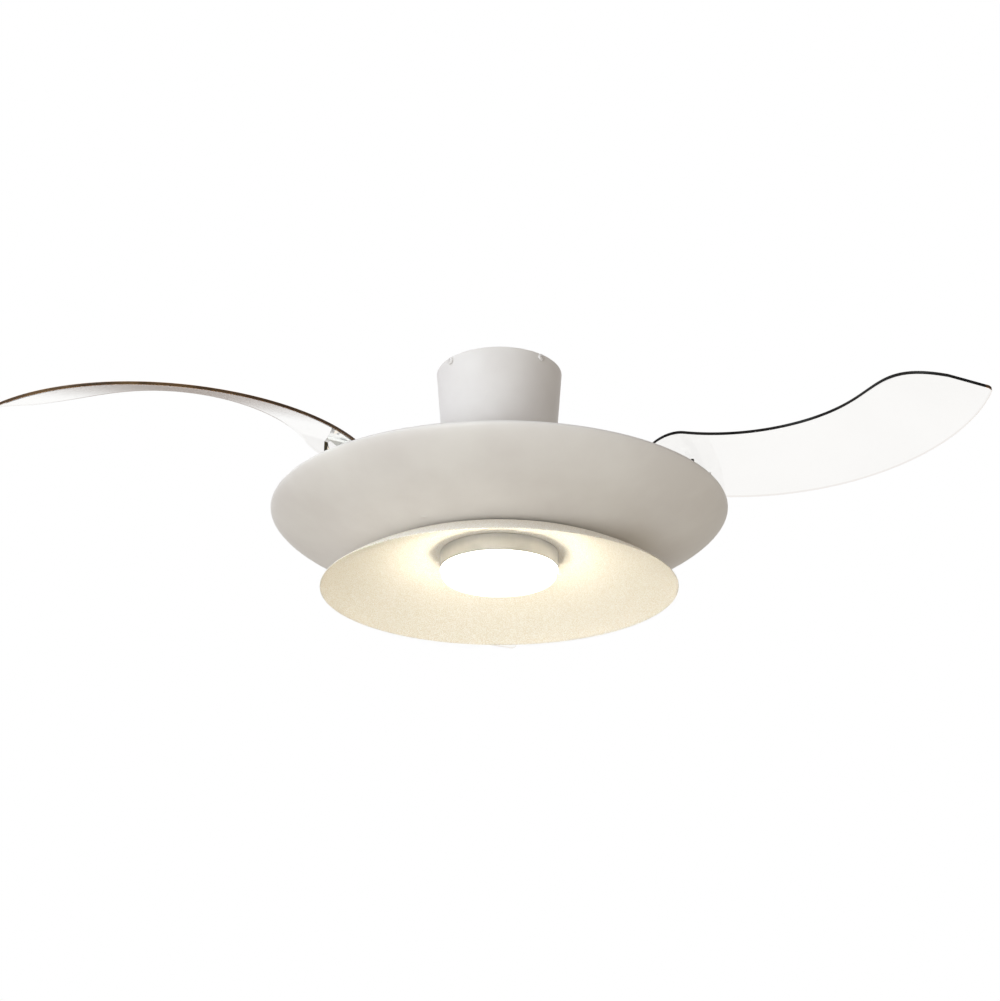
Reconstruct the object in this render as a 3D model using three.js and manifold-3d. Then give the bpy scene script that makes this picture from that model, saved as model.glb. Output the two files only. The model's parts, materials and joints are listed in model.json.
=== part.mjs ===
// Retractable blade ceiling fan with a lamp, millimetres, +Z up.
// The origin is the middle of the ceiling bracket's top face, so the fan hangs below z = 0.
// Blades are drawn in the open position: each one can fold back by FOLD_ANGLE over the body.

import * as THREE from 'three';
import { mergeVertices } from 'three/addons/utils/BufferGeometryUtils.js';
import Module from 'manifold-3d';

const wasm = await Module();
wasm.setup();

const DEG = Math.PI / 180;

// ---- driving dimensions -------------------------------------------------------------------

const GAP = 0.3; // between faces that rest on each other
const PAST = 1; // how far a cutting body runs past the faces it cuts
const SHEET_STEEL = 2.5; // brackets and motor shells

const TOTAL_HEIGHT = 259; // ceiling to the dish rim

// canopy, a cup against the ceiling
const CANOPY_TOP_RADIUS = 70.4;
const CANOPY_TAPER = 4.9; // radius lost from the top to the start of the round bottom
const CANOPY_STRAIGHT = 58; // height of the tapered wall
const CANOPY_HEIGHT = 99;
const CANOPY_WALL = 1.6;
const CANOPY_HOLE_CLEARANCE = 5; // round the shaft
const CANOPY_FLAT = 14; // flat ring round the hole, before the bottom rounds up
const CANOPY_SCREW_COUNT = 4;
const CANOPY_SCREW_AZIMUTH = 40.5; // degrees, first screw
const CANOPY_SCREW_DROP = 5; // screw axis below the ceiling
const CANOPY_SCREW_HEAD_RADIUS = 4;
const CANOPY_SCREW_HEAD_HEIGHT = 2.4;
const CANOPY_SCREW_RADIUS = 2;
const CANOPY_SCREW_LENGTH = 10.6;

// bracket and yoke inside the canopy
const BRACKET_RADIUS = 58;
const BRACKET_HOLE_RADIUS = 8; // the mains cable comes through beside the yoke
const BRACKET_HOLE_OFFSET = -19;
const BRACKET_SLOT_RADIUS = 40; // where the two ceiling screw slots lie
const BRACKET_SLOT_LENGTH = 16;
const BRACKET_SLOT_WIDTH = 6;
const EAR_WIDTH = 12;
const EAR_LENGTH = 11; // below the ceiling
const EAR_CLEARANCE = 1.6; // inside the canopy wall
const YOKE_WIDTH = 30;
const YOKE_SPAN = 64; // between the outer faces of its legs
const YOKE_DEPTH = 46;
const YOKE_FLANGE = 14;
const DAMPER_WIDTH = 8; // beyond the shaft
const DAMPER_HEIGHT = 4;
const TOP_NUT_WIDTH = 6; // beyond the shaft
const TOP_NUT_HEIGHT = 9;
const SHAFT_ABOVE_NUT = 9;
const RECEIVER_SIZE = [56, 22, 20];
const RECEIVER_OFFSET = 39;
const RECEIVER_LID = [48, 16, 2];
const RECEIVER_LID_PROUD = 1.3; // how far it stands off the box
const TERMINAL_SIZE = [34, 15, 14];
const TERMINAL_OFFSET = -38;
const TERMINAL_WAYS = 3;
const TERMINAL_WAY_DEPTH = 3;
const TERMINAL_WAY_HEIGHT = 5;
const TERMINAL_WAY_WALL = 3; // between two ways

// hollow shaft and its bearings
const SHAFT_RADIUS = 9;
const SHAFT_WALL = 3;
const BEARING_DEPTH = 8; // beyond the shaft
const BEARING_WIDTH = 8;
const SHELL_HOLE_CLEARANCE = 3; // upper shell round the shaft
const SPACER_WALL = 3.7;
const SPACER_CLEARANCE = 2; // lower shell round the spacer

// motor
const MOTOR_RADIUS = 98;
const MOTOR_HEIGHT = 69.7;
const MOTOR_SPLIT = 31; // lower edge of the upper shell below its top
const MOTOR_CHAMFER = 9;
const STATOR_HEIGHT = 15;
const STATOR_SLOTS = 12;
const STATOR_SLOT_WIDTH = 13;
const STATOR_SLOT_DEPTH = 26;
const WINDING_INSET = 22; // outer edge inside the stator's
const WINDING_WIDTH = 20;
const WINDING_HEIGHT = 12;
const AIR_GAP = 1.5;
const MAGNET_THICKNESS = 5;
const MAGNET_HEIGHT = 19;
const VENT_COUNT = 9;
const VENT_RADIUS = 5;
const VENT_INSET = 26; // from the shell's edge
const VENT_AZIMUTH = 20; // degrees, first vent

// body bowl, a superellipse between its widest circle and its bottom opening
const BODY_RADIUS = 246;
const BODY_WIDEST_HEIGHT = 87.4; // widest circle above the dish rim
const BODY_OPENING_RADIUS = 128;
const BODY_BOTTOM_FLAT = 5; // ring round the opening
const BODY_POWER = 1.42;
const BODY_WALL = 1.6;
const BODY_RIM_ROUND = 3;
const BODY_LIP_WIDTH = 15; // rim turned in at the top
const BODY_POST_CIRCLE = 145;
const BODY_POST_RADIUS = 5;
const BODY_POST_COUNT = 3;

// dish reflector, depth falls off with the cube of the radius
const DISH_RADIUS = 190;
const DISH_DEPTH = 46.4;
const DISH_WALL = 1.2;
const DISH_HOLE_RADIUS = 14; // wires
const DISH_BACK_GAP = 0.5; // to the body's opening

// lamp
const LAMP_RADIUS = 63.7;
const LAMP_RING_WALL = 1.5;
const LAMP_RING_HEIGHT = 19;
const LAMP_RING_FLANGE = 6;
const LAMP_BASE_HEIGHT = 4;
const LAMP_BASE_HOLE_RADIUS = 8; // wires
const LAMP_SCREW_COUNT = 3;
const LAMP_SCREW_AZIMUTH = 30; // degrees, first screw
const LAMP_SCREW_INSET = 17.7; // from the lamp ring's outside
const LAMP_SCREW_HEAD_RADIUS = 3.6;
const LAMP_SCREW_HEAD_HEIGHT = 2;
const LAMP_SCREW_BITE = 7;
const LED_BOARD_INSET = 8; // edge of the board inside the screw circle
const LED_BOARD_HEIGHT = 1.6;
const LED_RADIUS = 2.4;
const LED_COUNT = 9;
const LED_INSET = 11; // from the board's edge
const LED_HEIGHT = 1.2;
const DIFFUSER_WALL = 2;
const DIFFUSER_BELOW_RING = 12.3;
const DIFFUSER_ROUND = 7;
const DIFFUSER_TOP_GAP = 1; // under the lamp base

// plate that carries the bowl, the dish and the driver
const MOUNT_PLATE_HEIGHT = 58.5; // top face above the dish rim
const MOUNT_PLATE_SHEET = 2;
const MOUNT_PLATE_EDGE = 13; // beyond the circle of the bowl screws
const MOUNT_POST_RADIUS = 5;
const DRIVER_SIZE = [44, 92, 10];
const DRIVER_OFFSET = 107;
const DRIVER_AZIMUTH = 60; // degrees
const DRIVER_END = [24, 7, 6]; // cover over the wires at each end
const LOWER_NUT_WIDTH = 5; // beyond the shaft
const LOWER_NUT_HEIGHT = 5;

// screws of one size for the plate, the lamp and the blades
const SCREW_RADIUS = 2;
const SCREW_HEAD_RADIUS = 4;
const SCREW_HEAD_HEIGHT = 2.2;
const SCREW_CLEARANCE = 0.3;
const SCREW_BITE = 10; // length in the piece that the screw holds to

// blade carrier
const DISC_HEIGHT = 77; // top face of the blade disc above the dish rim
const DISC_SHEET = 2.5;
const DISC_EDGE = 25; // beyond the circle of the pivots
const DISC_HOLE_CLEARANCE = 15; // round the shaft
const COVER_ABOVE_DISC = 12.3; // between their top faces
const COVER_SHEET = 1.2;
const COVER_SETBACK = 1; // edge inside the disc's
const COVER_POST_RADIUS = 4;
const COVER_POST_OUTWARD = 5; // from the circle of the pivots
const COVER_MOTOR_CLEARANCE = 2;

// blades
const BLADE_COUNT = 3;
const PIVOT_INSET = 46; // pivots inside the body's widest circle
const PIVOT_AZIMUTH = -14.7; // degrees, first pivot
const FOLD_ANGLE = 116.6; // degrees from folded to open
const BLADE_THICKNESS = 3;
const BLADE_PITCH = 23.1; // degrees
const BLADE_OVERHANG = 17.3; // trailing edge outside the circle of the pivots
const BLADE_WIDTH = 88.4; // seen from below
const BLADE_ROOT_ANGLE = 18.8; // degrees past the pivot
const BLADE_TIP_ANGLE = -112.9; // degrees
const BLADE_TIP_ROUND = 42; // degrees over which the tip is drawn in
const BLADE_TIP_POWER = 3.2;
const BLADE_NARROW_ANGLE = -51; // where the leading edge is nearest to the centre
const BLADE_ROOT_CUT = 4.5; // how far the leading edge moves out at the root
const BLADE_HEEL = 14; // the trailing edge drawn in at the root
const BLADE_HEEL_ANGLE = -55; // where that begins
const BLADE_TIP_FLARE = 3; // the trailing edge run out at the tip
const BLADE_FLARE_ANGLE = -80; // where that begins
const BLADE_ROOT_ABOVE_DISC = 17.6; // trailing edge at the root
const BLADE_RISE = 7.3; // trailing edge at the tip above the root
const FIN_THICKNESS = 3;
const FIN_REACH = 38; // outer edge of the fin from the pivot
const FIN_POST = 3;
const FIN_START = 15;
const FIN_HEEL = 3;

// blade holders
const PIN_RADIUS = 5;
const PIN_HEAD_WIDTH = 3; // beyond the pin
const PIN_HEAD_HEIGHT = 3.2;
const PIN_TOP_ABOVE_DISC = 15.5;
const PIN_CLEARANCE = 0.3;
const BOSS_WALL = 8; // beyond the pin
const BOSS_CLEARANCE = 1.5;
const PAD_THICKNESS = 3;
const PAD_INWARD = 22; // from the circle of the pivots
const PAD_OUTWARD = 6;
const PAD_HALF_ANGLE = 8; // degrees
const BLADE_SCREW_INWARD = 7; // from the circle of the pivots
const BLADE_SCREW_ANGLE = 6; // degrees each side of the pivot
const ARM_WIDTH = 10;
const ARM_HEIGHT = 5;
const ARM_REACH = 42;
const ARM_TOP_ABOVE_DISC = 20.5;

// gears that keep the blades together
const SECTOR_TEETH = 18;
const SYNC_TEETH = 102;
const GEAR_HEIGHT = 5;
const GEAR_HEADROOM = 0.5; // under the cover
const GEAR_BACKLASH = 0.5;
const GEAR_PRESSURE_ANGLE = 20 * DEG;
const GEAR_ADDENDUM = 0.9;
const GEAR_DEDENDUM = 1.2;
const SYNC_RIM = 15.6; // from the bore to the foot of the teeth
const GUIDE_CLEARANCE = 0.8;
const GUIDE_WIDTH = 9;
const GUIDE_SHELF = 6;
const SPRING_WIRE = 1.6;
const SPRING_TURNS = 2;
const SPRING_STAND_OFF = 4.5; // middle of the wire from the pin
const STOP_CLEARANCE = 3; // from the boss
const STOP_WIDTH = 6;
const STOP_SLACK = 2.5; // degrees short of the sector at each end

// roundness, in facets per turn
const FINE = 40;
const MEDIUM = 20;
const COARSE = 12;
const SMALL = 8;
const LAMP_FACETS = 28;
const CANOPY_FACETS = 32;

// ---- derived places, as heights below zero --------------------------------------------------

const RIM_Z = -TOTAL_HEIGHT;
const dishZ = (r) => RIM_Z + DISH_DEPTH * (1 - (r / DISH_RADIUS) ** 3);

const BRACKET_BOTTOM = -SHEET_STEEL;
const YOKE_PLATE_TOP = -YOKE_DEPTH;
const YOKE_PLATE_BOTTOM = YOKE_PLATE_TOP - SHEET_STEEL;
const DAMPER_TOP = YOKE_PLATE_TOP + GAP + DAMPER_HEIGHT;
const TOP_NUT_BOTTOM = DAMPER_TOP + GAP;
const TOP_NUT_TOP = TOP_NUT_BOTTOM + TOP_NUT_HEIGHT;
const SHAFT_TOP = TOP_NUT_TOP + SHAFT_ABOVE_NUT;

const DISC_TOP = RIM_Z + DISC_HEIGHT;
const DISC_BOTTOM = DISC_TOP - DISC_SHEET;
const COVER_TOP = DISC_TOP + COVER_ABOVE_DISC;
const COVER_BOTTOM = COVER_TOP - COVER_SHEET;
const GEAR_TOP = COVER_BOTTOM - GEAR_HEADROOM;
const GEAR_BOTTOM = GEAR_TOP - GEAR_HEIGHT;
const ARM_TOP = DISC_TOP + ARM_TOP_ABOVE_DISC;
const PIN_TOP = DISC_TOP + PIN_TOP_ABOVE_DISC;
const BLADE_ROOT_Z = DISC_TOP + BLADE_ROOT_ABOVE_DISC;

const SHELL_BOTTOM = DISC_TOP + GAP;
const SHELL_TOP = SHELL_BOTTOM + MOTOR_HEIGHT;
const UPPER_BEARING_TOP = SHELL_TOP - SHEET_STEEL - GAP;
const LOWER_BEARING_BOTTOM = SHELL_BOTTOM + SHEET_STEEL + GAP;
const STATOR_MIDDLE = (SHELL_TOP + SHELL_BOTTOM) / 2;
const STATOR_TOP = STATOR_MIDDLE + STATOR_HEIGHT / 2;
const STATOR_BOTTOM = STATOR_MIDDLE - STATOR_HEIGHT / 2;

const MOUNT_PLATE_TOP = RIM_Z + MOUNT_PLATE_HEIGHT;
const MOUNT_PLATE_BOTTOM = MOUNT_PLATE_TOP - MOUNT_PLATE_SHEET;
const LOWER_NUT_BOTTOM = MOUNT_PLATE_BOTTOM - GAP - LOWER_NUT_HEIGHT;
const SHAFT_BOTTOM = LOWER_NUT_BOTTOM;

const BODY_WIDEST_Z = RIM_Z + BODY_WIDEST_HEIGHT;
const BODY_BOTTOM_Z = dishZ(BODY_OPENING_RADIUS) + DISH_WALL + DISH_BACK_GAP;

const LAMP_TOP = dishZ(LAMP_RADIUS) - GAP;
const LAMP_BASE_TOP = LAMP_TOP - LAMP_RING_WALL - GAP;
const LAMP_BASE_BOTTOM = LAMP_BASE_TOP - LAMP_BASE_HEIGHT;
const LED_BOARD_TOP = LAMP_BASE_BOTTOM - GAP;
const LED_BOARD_BOTTOM = LED_BOARD_TOP - LED_BOARD_HEIGHT;
const LAMP_RING_BOTTOM = LAMP_TOP - LAMP_RING_HEIGHT;
const DIFFUSER_BOTTOM = LAMP_RING_BOTTOM - DIFFUSER_BELOW_RING;

// ---- derived radii ----------------------------------------------------------------------------

const ON_SHAFT = SHAFT_RADIUS + GAP; // bore of what sits on the shaft
const BEARING_RADIUS = SHAFT_RADIUS + BEARING_DEPTH;
const SPACER_RADIUS = ON_SHAFT + SPACER_WALL;
const CANOPY_HOLE_RADIUS = SHAFT_RADIUS + CANOPY_HOLE_CLEARANCE;

const SHELL_INSIDE = MOTOR_RADIUS - SHEET_STEEL;
const MAGNET_OUTER = SHELL_INSIDE - GAP;
const MAGNET_INNER = MAGNET_OUTER - MAGNET_THICKNESS;
const STATOR_RADIUS = MAGNET_INNER - AIR_GAP;

const SCREW_HOLE_RADIUS = SCREW_RADIUS + SCREW_CLEARANCE;
const LAMP_SCREW_CIRCLE = LAMP_RADIUS - LAMP_SCREW_INSET;
const LAMP_INSIDE = LAMP_RADIUS - LAMP_RING_WALL;
const LED_BOARD_RADIUS = LAMP_SCREW_CIRCLE - LED_BOARD_INSET;
const BODY_BOTTOM_RADIUS = BODY_OPENING_RADIUS + BODY_BOTTOM_FLAT;

const PIVOT_CIRCLE = BODY_RADIUS - PIVOT_INSET;
const DISC_RADIUS = PIVOT_CIRCLE + DISC_EDGE;
const BOSS_RADIUS = PIN_RADIUS + BOSS_WALL;
const BLADE_OUTER_ARC = PIVOT_CIRCLE + BLADE_OVERHANG; // trailing edge
const BLADE_INNER_ARC = BLADE_OUTER_ARC - BLADE_WIDTH; // leading edge where it is farthest in
const BLADE_SCREW_ARC = PIVOT_CIRCLE - BLADE_SCREW_INWARD;
const PAD_INNER = PIVOT_CIRCLE - PAD_INWARD;
const PAD_OUTER = PIVOT_CIRCLE + PAD_OUTWARD;

const GEAR_MODULE = 2 * PIVOT_CIRCLE / (SECTOR_TEETH + SYNC_TEETH);
const SYNC_INNER_RADIUS = GEAR_MODULE * (SYNC_TEETH / 2 - GEAR_DEDENDUM) - SYNC_RIM;
const GUIDE_RADIUS = SYNC_INNER_RADIUS - GUIDE_CLEARANCE;

const PITCH_SLOPE = Math.tan(BLADE_PITCH * DEG);
const HALF_BLADE = BLADE_THICKNESS / 2 / Math.cos(BLADE_PITCH * DEG); // measured along Z
const PAD_DEEP = PAD_THICKNESS / Math.cos(BLADE_PITCH * DEG);

// ---- materials ------------------------------------------------------------------------------

const finish = (color, roughness, metalness = 0) =>
  new THREE.MeshStandardMaterial({ color, roughness, metalness });

const WHITE_PAINT = finish(0xe6e2df, 0.42);
const DISH_PAINT = finish(0xefe3c8, 0.75);
const STEEL = finish(0xb9bcc0, 0.38, 1);
const DARK_STEEL = finish(0x6d7074, 0.5, 1);
const ALUMINIUM = finish(0xc9cbce, 0.35, 1);
const COPPER = finish(0xb56a3a, 0.4, 1);
const BRASS = finish(0xc8a24a, 0.35, 1);
const RUBBER = finish(0x26262a, 0.85);
const BLACK_PLASTIC = finish(0x2c2c30, 0.5);
const WHITE_PLASTIC = finish(0xecebe6, 0.45);
const CLEAR_ACRYLIC = finish(0xe9edf0, 0.06);
const OPAL = finish(0xfffdf2, 0.3);
const MAGNET = finish(0x3a3a3e, 0.55, 0.6);

// ---- solids ---------------------------------------------------------------------------------

// A closed geometry as a solid: shared corners merged, flat slivers on the axis dropped.
function solid(geometry) {
  const bare = geometry.clone();
  bare.deleteAttribute('normal');
  bare.deleteAttribute('uv');
  const merged = mergeVertices(bare, 1e-4);
  const index = merged.index.array;
  const kept = [];
  for (let i = 0; i < index.length; i += 3) {
    const [a, b, c] = [index[i], index[i + 1], index[i + 2]];
    if (a !== b && b !== c && c !== a) kept.push(a, b, c);
  }
  const vertProperties = new Float32Array(merged.attributes.position.array);
  const triVerts = new Uint32Array(kept);
  return new wasm.Manifold(new wasm.Mesh({ numProp: 3, vertProperties, triVerts }));
}

function geometryOf(body) {
  const { vertProperties, triVerts } = body.getMesh();
  const geometry = new THREE.BufferGeometry();
  geometry.setAttribute('position', new THREE.BufferAttribute(vertProperties, 3));
  geometry.setIndex(new THREE.BufferAttribute(triVerts, 1));
  geometry.computeVertexNormals();
  return geometry;
}

const join = (bodies) => bodies.reduce((whole, body) => whole.add(body));
const cut = (body, tools) => tools.reduce((rest, tool) => rest.subtract(tool), body);

function signedArea(points) {
  let sum = 0;
  points.forEach(([x, y], i) => {
    const [nextX, nextY] = points[(i + 1) % points.length];
    sum += x * nextY - nextX * y;
  });
  return sum / 2;
}

// A profile of [radius, z] points, closed on itself, turned about Z.
function turned(profile, facets) {
  const ordered = signedArea(profile) > 0 ? profile : [...profile].reverse();
  const points = [...ordered, ordered[0]].map(([r, z]) => new THREE.Vector2(r, z));
  return solid(new THREE.LatheGeometry(points, facets).rotateX(Math.PI / 2));
}

// An outline of [x, y] points, from one height to another.
function slab(outline, bottom, top) {
  const shape = new THREE.Shape(outline.map(([x, y]) => new THREE.Vector2(x, y)));
  const geometry = new THREE.ExtrudeGeometry(shape, { depth: top - bottom, bevelEnabled: false });
  return solid(geometry.translate(0, 0, bottom));
}

// A round bar along Z.
function bar(radius, bottom, top, facets = COARSE) {
  const geometry = new THREE.CylinderGeometry(radius, radius, top - bottom, facets);
  return solid(geometry.rotateX(Math.PI / 2).translate(0, 0, (top + bottom) / 2));
}

function block([width, depth, height], [x, y, z] = [0, 0, 0]) {
  return solid(new THREE.BoxGeometry(width, depth, height).translate(x, y, z));
}

const ring = (inner, outer, bottom, top, facets) =>
  turned([[inner, bottom], [outer, bottom], [outer, top], [inner, top]], facets);

const turn = (body, degrees) => body.rotate([0, 0, degrees]);
const shift = (body, x, y, z = 0) => body.translate([x, y, z]);

// The same body at equal steps round the Z axis.
function around(body, count, first = 0) {
  return Array.from({ length: count }, (_, i) => turn(body, first + i * 360 / count));
}

function named(name, body, material) {
  const mesh = new THREE.Mesh(geometryOf(body), material);
  mesh.name = name;
  return mesh;
}

// A screw along Z: the head stands on z = 0 and the shank goes down.
function screw(headRadius, headHeight, radius, length, facets = SMALL) {
  return turned([
    [0, -length], [radius, -length], [radius, 0], [headRadius, 0],
    [headRadius, headHeight * 0.55], [headRadius * 0.6, headHeight], [0, headHeight],
  ], facets);
}

function hexNut(radius, bore, bottom, top) {
  return bar(radius, bottom, top, 6).subtract(bar(bore, bottom - 1, top + 1));
}

// ---- ceiling bracket, yoke and canopy ---------------------------------------------------------

function canopyOuter(drop) {
  return CANOPY_TOP_RADIUS - CANOPY_TAPER * drop / CANOPY_STRAIGHT;
}

// A round bar along X, from the axis out to a reach.
const spoke = (radius, reach, z) => shift(bar(radius, 0, reach, SMALL).rotate([0, 90, 0]), 0, 0, z);

function ceilingBracket() {
  const earOuter = canopyOuter(EAR_LENGTH) - CANOPY_WALL - EAR_CLEARANCE;
  const plate = bar(BRACKET_RADIUS, BRACKET_BOTTOM, 0, MEDIUM);
  const reach = block([earOuter, EAR_WIDTH, SHEET_STEEL], [earOuter / 2, 0, -SHEET_STEEL / 2]);
  const ear = block(
    [SHEET_STEEL, EAR_WIDTH, EAR_LENGTH],
    [earOuter - SHEET_STEEL / 2, 0, -EAR_LENGTH / 2],
  );
  const hole = spoke(CANOPY_SCREW_RADIUS + SCREW_CLEARANCE, earOuter + PAST, -CANOPY_SCREW_DROP);
  const arm = cut(join([reach, ear]), [hole]);
  const halfSlot = BRACKET_SLOT_LENGTH / 2;
  const through = [BRACKET_BOTTOM - PAST, PAST];
  const slot = join([
    block([BRACKET_SLOT_WIDTH, BRACKET_SLOT_LENGTH, 4 * SHEET_STEEL], [0, BRACKET_SLOT_RADIUS, 0]),
    shift(bar(BRACKET_SLOT_WIDTH / 2, ...through, SMALL), 0, BRACKET_SLOT_RADIUS + halfSlot),
    shift(bar(BRACKET_SLOT_WIDTH, ...through, SMALL), 0, BRACKET_SLOT_RADIUS - halfSlot),
  ]);
  return cut(join([plate, ...around(arm, CANOPY_SCREW_COUNT, CANOPY_SCREW_AZIMUTH)]), [
    shift(bar(BRACKET_HOLE_RADIUS, ...through), 0, BRACKET_HOLE_OFFSET),
    turn(slot, 90),
    turn(slot, 270),
  ]);
}

function hangerYoke() {
  const top = BRACKET_BOTTOM - GAP;
  const legHeight = top - YOKE_PLATE_BOTTOM;
  const side = YOKE_SPAN / 2;
  const parts = [block([YOKE_SPAN, YOKE_WIDTH, SHEET_STEEL], [0, 0, YOKE_PLATE_TOP - SHEET_STEEL / 2])];
  for (const sign of [-1, 1]) {
    parts.push(block(
      [SHEET_STEEL, YOKE_WIDTH, legHeight],
      [sign * (side - SHEET_STEEL / 2), 0, YOKE_PLATE_BOTTOM + legHeight / 2],
    ));
    parts.push(block(
      [YOKE_FLANGE, YOKE_WIDTH, SHEET_STEEL],
      [sign * (side - YOKE_FLANGE / 2), 0, top - SHEET_STEEL / 2],
    ));
  }
  return join(parts).subtract(bar(ON_SHAFT, YOKE_PLATE_BOTTOM - PAST, YOKE_PLATE_TOP + PAST));
}

// The wall tapers, then rounds in to the hole that the shaft passes.
function canopy() {
  const lowRadius = CANOPY_TOP_RADIUS - CANOPY_TAPER;
  const roundHeight = CANOPY_HEIGHT - CANOPY_STRAIGHT;
  const flatRadius = CANOPY_HOLE_RADIUS + CANOPY_FLAT;
  const roundSteps = 4;
  const wallLine = (inset) => {
    const line = [[CANOPY_TOP_RADIUS - inset, -GAP]];
    for (let step = 0; step <= roundSteps; step++) {
      const angle = step / roundSteps * Math.PI / 2;
      const r = flatRadius + (lowRadius - flatRadius - inset) * Math.cos(angle);
      line.push([r, -CANOPY_STRAIGHT - (roundHeight - inset) * Math.sin(angle)]);
    }
    line.push([CANOPY_HOLE_RADIUS, -CANOPY_HEIGHT + inset]);
    return line;
  };
  const shell = turned([...wallLine(0), ...wallLine(CANOPY_WALL).reverse()], CANOPY_FACETS);
  const slotRadius = CANOPY_SCREW_RADIUS + SCREW_CLEARANCE;
  const slotDepth = 6 * CANOPY_WALL;
  const slot = join([
    block([slotDepth, 2 * slotRadius, CANOPY_SCREW_DROP + PAST],
      [CANOPY_TOP_RADIUS, 0, (PAST - CANOPY_SCREW_DROP) / 2]),
    spoke(slotRadius, CANOPY_TOP_RADIUS + slotDepth / 2, -CANOPY_SCREW_DROP),
  ]);
  return cut(shell, around(slot, CANOPY_SCREW_COUNT, CANOPY_SCREW_AZIMUTH));
}

function canopyScrew(azimuth) {
  const body = screw(
    CANOPY_SCREW_HEAD_RADIUS, CANOPY_SCREW_HEAD_HEIGHT, CANOPY_SCREW_RADIUS, CANOPY_SCREW_LENGTH,
  );
  const seat = canopyOuter(CANOPY_SCREW_DROP) + GAP;
  return turn(body.rotate([0, 90, 0]).translate([seat, 0, -CANOPY_SCREW_DROP]), azimuth);
}

function receiverBox() {
  const height = RECEIVER_SIZE[2];
  const z = BRACKET_BOTTOM - GAP - height / 2;
  const box = block(RECEIVER_SIZE, [0, RECEIVER_OFFSET, z]);
  const lidMiddle = z - height / 2 - RECEIVER_LID_PROUD + RECEIVER_LID[2] / 2;
  return join([box, block(RECEIVER_LID, [0, RECEIVER_OFFSET, lidMiddle])]);
}

function terminalBlock() {
  const [width, depth, height] = TERMINAL_SIZE;
  const z = BRACKET_BOTTOM - GAP - height / 2;
  const pitch = width / TERMINAL_WAYS;
  const way = [pitch - TERMINAL_WAY_WALL, 2 * TERMINAL_WAY_DEPTH, TERMINAL_WAY_HEIGHT];
  const ways = Array.from({ length: TERMINAL_WAYS }, (_, i) =>
    block(way, [(i - (TERMINAL_WAYS - 1) / 2) * pitch, TERMINAL_OFFSET - depth / 2, z]));
  return cut(block(TERMINAL_SIZE, [0, TERMINAL_OFFSET, z]), ways);
}

const rubberDamper = () =>
  ring(ON_SHAFT, SHAFT_RADIUS + DAMPER_WIDTH, DAMPER_TOP - DAMPER_HEIGHT, DAMPER_TOP, COARSE);

const hollowShaft = () => ring(SHAFT_RADIUS - SHAFT_WALL, SHAFT_RADIUS, SHAFT_BOTTOM, SHAFT_TOP, COARSE);

// ---- motor ------------------------------------------------------------------------------------

// Half of the motor's shell, with a collar round its bearing; up is the side of its flat face.
function motorShell(face, edge, holeRadius, up, chamfer) {
  const sheet = up * SHEET_STEEL;
  const seat = BEARING_RADIUS + GAP;
  const collar = face - sheet - up * (GAP + BEARING_WIDTH);
  const line = [
    [holeRadius, face], [MOTOR_RADIUS - chamfer, face], [MOTOR_RADIUS, face - up * chamfer],
    [MOTOR_RADIUS, edge], [SHELL_INSIDE, edge], [SHELL_INSIDE, face - sheet - up * chamfer],
    [SHELL_INSIDE - chamfer, face - sheet], [seat + SHEET_STEEL, face - sheet],
    [seat + SHEET_STEEL, collar], [seat, collar], [seat, face - sheet], [holeRadius, face - sheet],
  ];
  return turned(line.filter(([r, z], i) => i === 0 || r !== line[i - 1][0] || z !== line[i - 1][1]), MEDIUM);
}

function upperShell() {
  const hole = SHAFT_RADIUS + SHELL_HOLE_CLEARANCE;
  const shell = motorShell(SHELL_TOP, SHELL_TOP - MOTOR_SPLIT, hole, 1, MOTOR_CHAMFER);
  const drill = bar(VENT_RADIUS, SHELL_TOP - SHEET_STEEL - PAST, SHELL_TOP + PAST, 6);
  return cut(shell, around(shift(drill, MOTOR_RADIUS - VENT_INSET, 0), VENT_COUNT, VENT_AZIMUTH));
}

const lowerShell = () =>
  motorShell(SHELL_BOTTOM, SHELL_TOP - MOTOR_SPLIT - GAP, SPACER_RADIUS + SPACER_CLEARANCE, -1, 0);

function statorCore() {
  const slot = block(
    [STATOR_SLOT_DEPTH + PAST, STATOR_SLOT_WIDTH, STATOR_HEIGHT + 2 * PAST],
    [STATOR_RADIUS + (PAST - STATOR_SLOT_DEPTH) / 2, 0, STATOR_MIDDLE],
  );
  const core = ring(ON_SHAFT, STATOR_RADIUS, STATOR_BOTTOM, STATOR_TOP, MEDIUM);
  return cut(core, around(slot, STATOR_SLOTS));
}

function winding(bottom) {
  const half = WINDING_WIDTH / 2;
  const middle = STATOR_RADIUS - WINDING_INSET - half;
  const sides = 6;
  const outline = Array.from({ length: sides }, (_, i) => {
    const angle = (i + 0.5) * 2 * Math.PI / sides;
    return [middle + half * Math.cos(angle), bottom + WINDING_HEIGHT / 2 * (1 + Math.sin(angle))];
  });
  return turned(outline, COARSE);
}

const magnetRing = () => ring(
  MAGNET_INNER, MAGNET_OUTER, STATOR_MIDDLE - MAGNET_HEIGHT / 2, STATOR_MIDDLE + MAGNET_HEIGHT / 2, MEDIUM,
);

const bearing = (bottom) => ring(ON_SHAFT, BEARING_RADIUS, bottom, bottom + BEARING_WIDTH, COARSE);

// ---- blade disc, cover and gears ----------------------------------------------------------------

const pivotHoles = (radius) => around(
  shift(bar(radius, DISC_BOTTOM - PAST, COVER_TOP + PAST), PIVOT_CIRCLE, 0), BLADE_COUNT, PIVOT_AZIMUTH,
);

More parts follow.
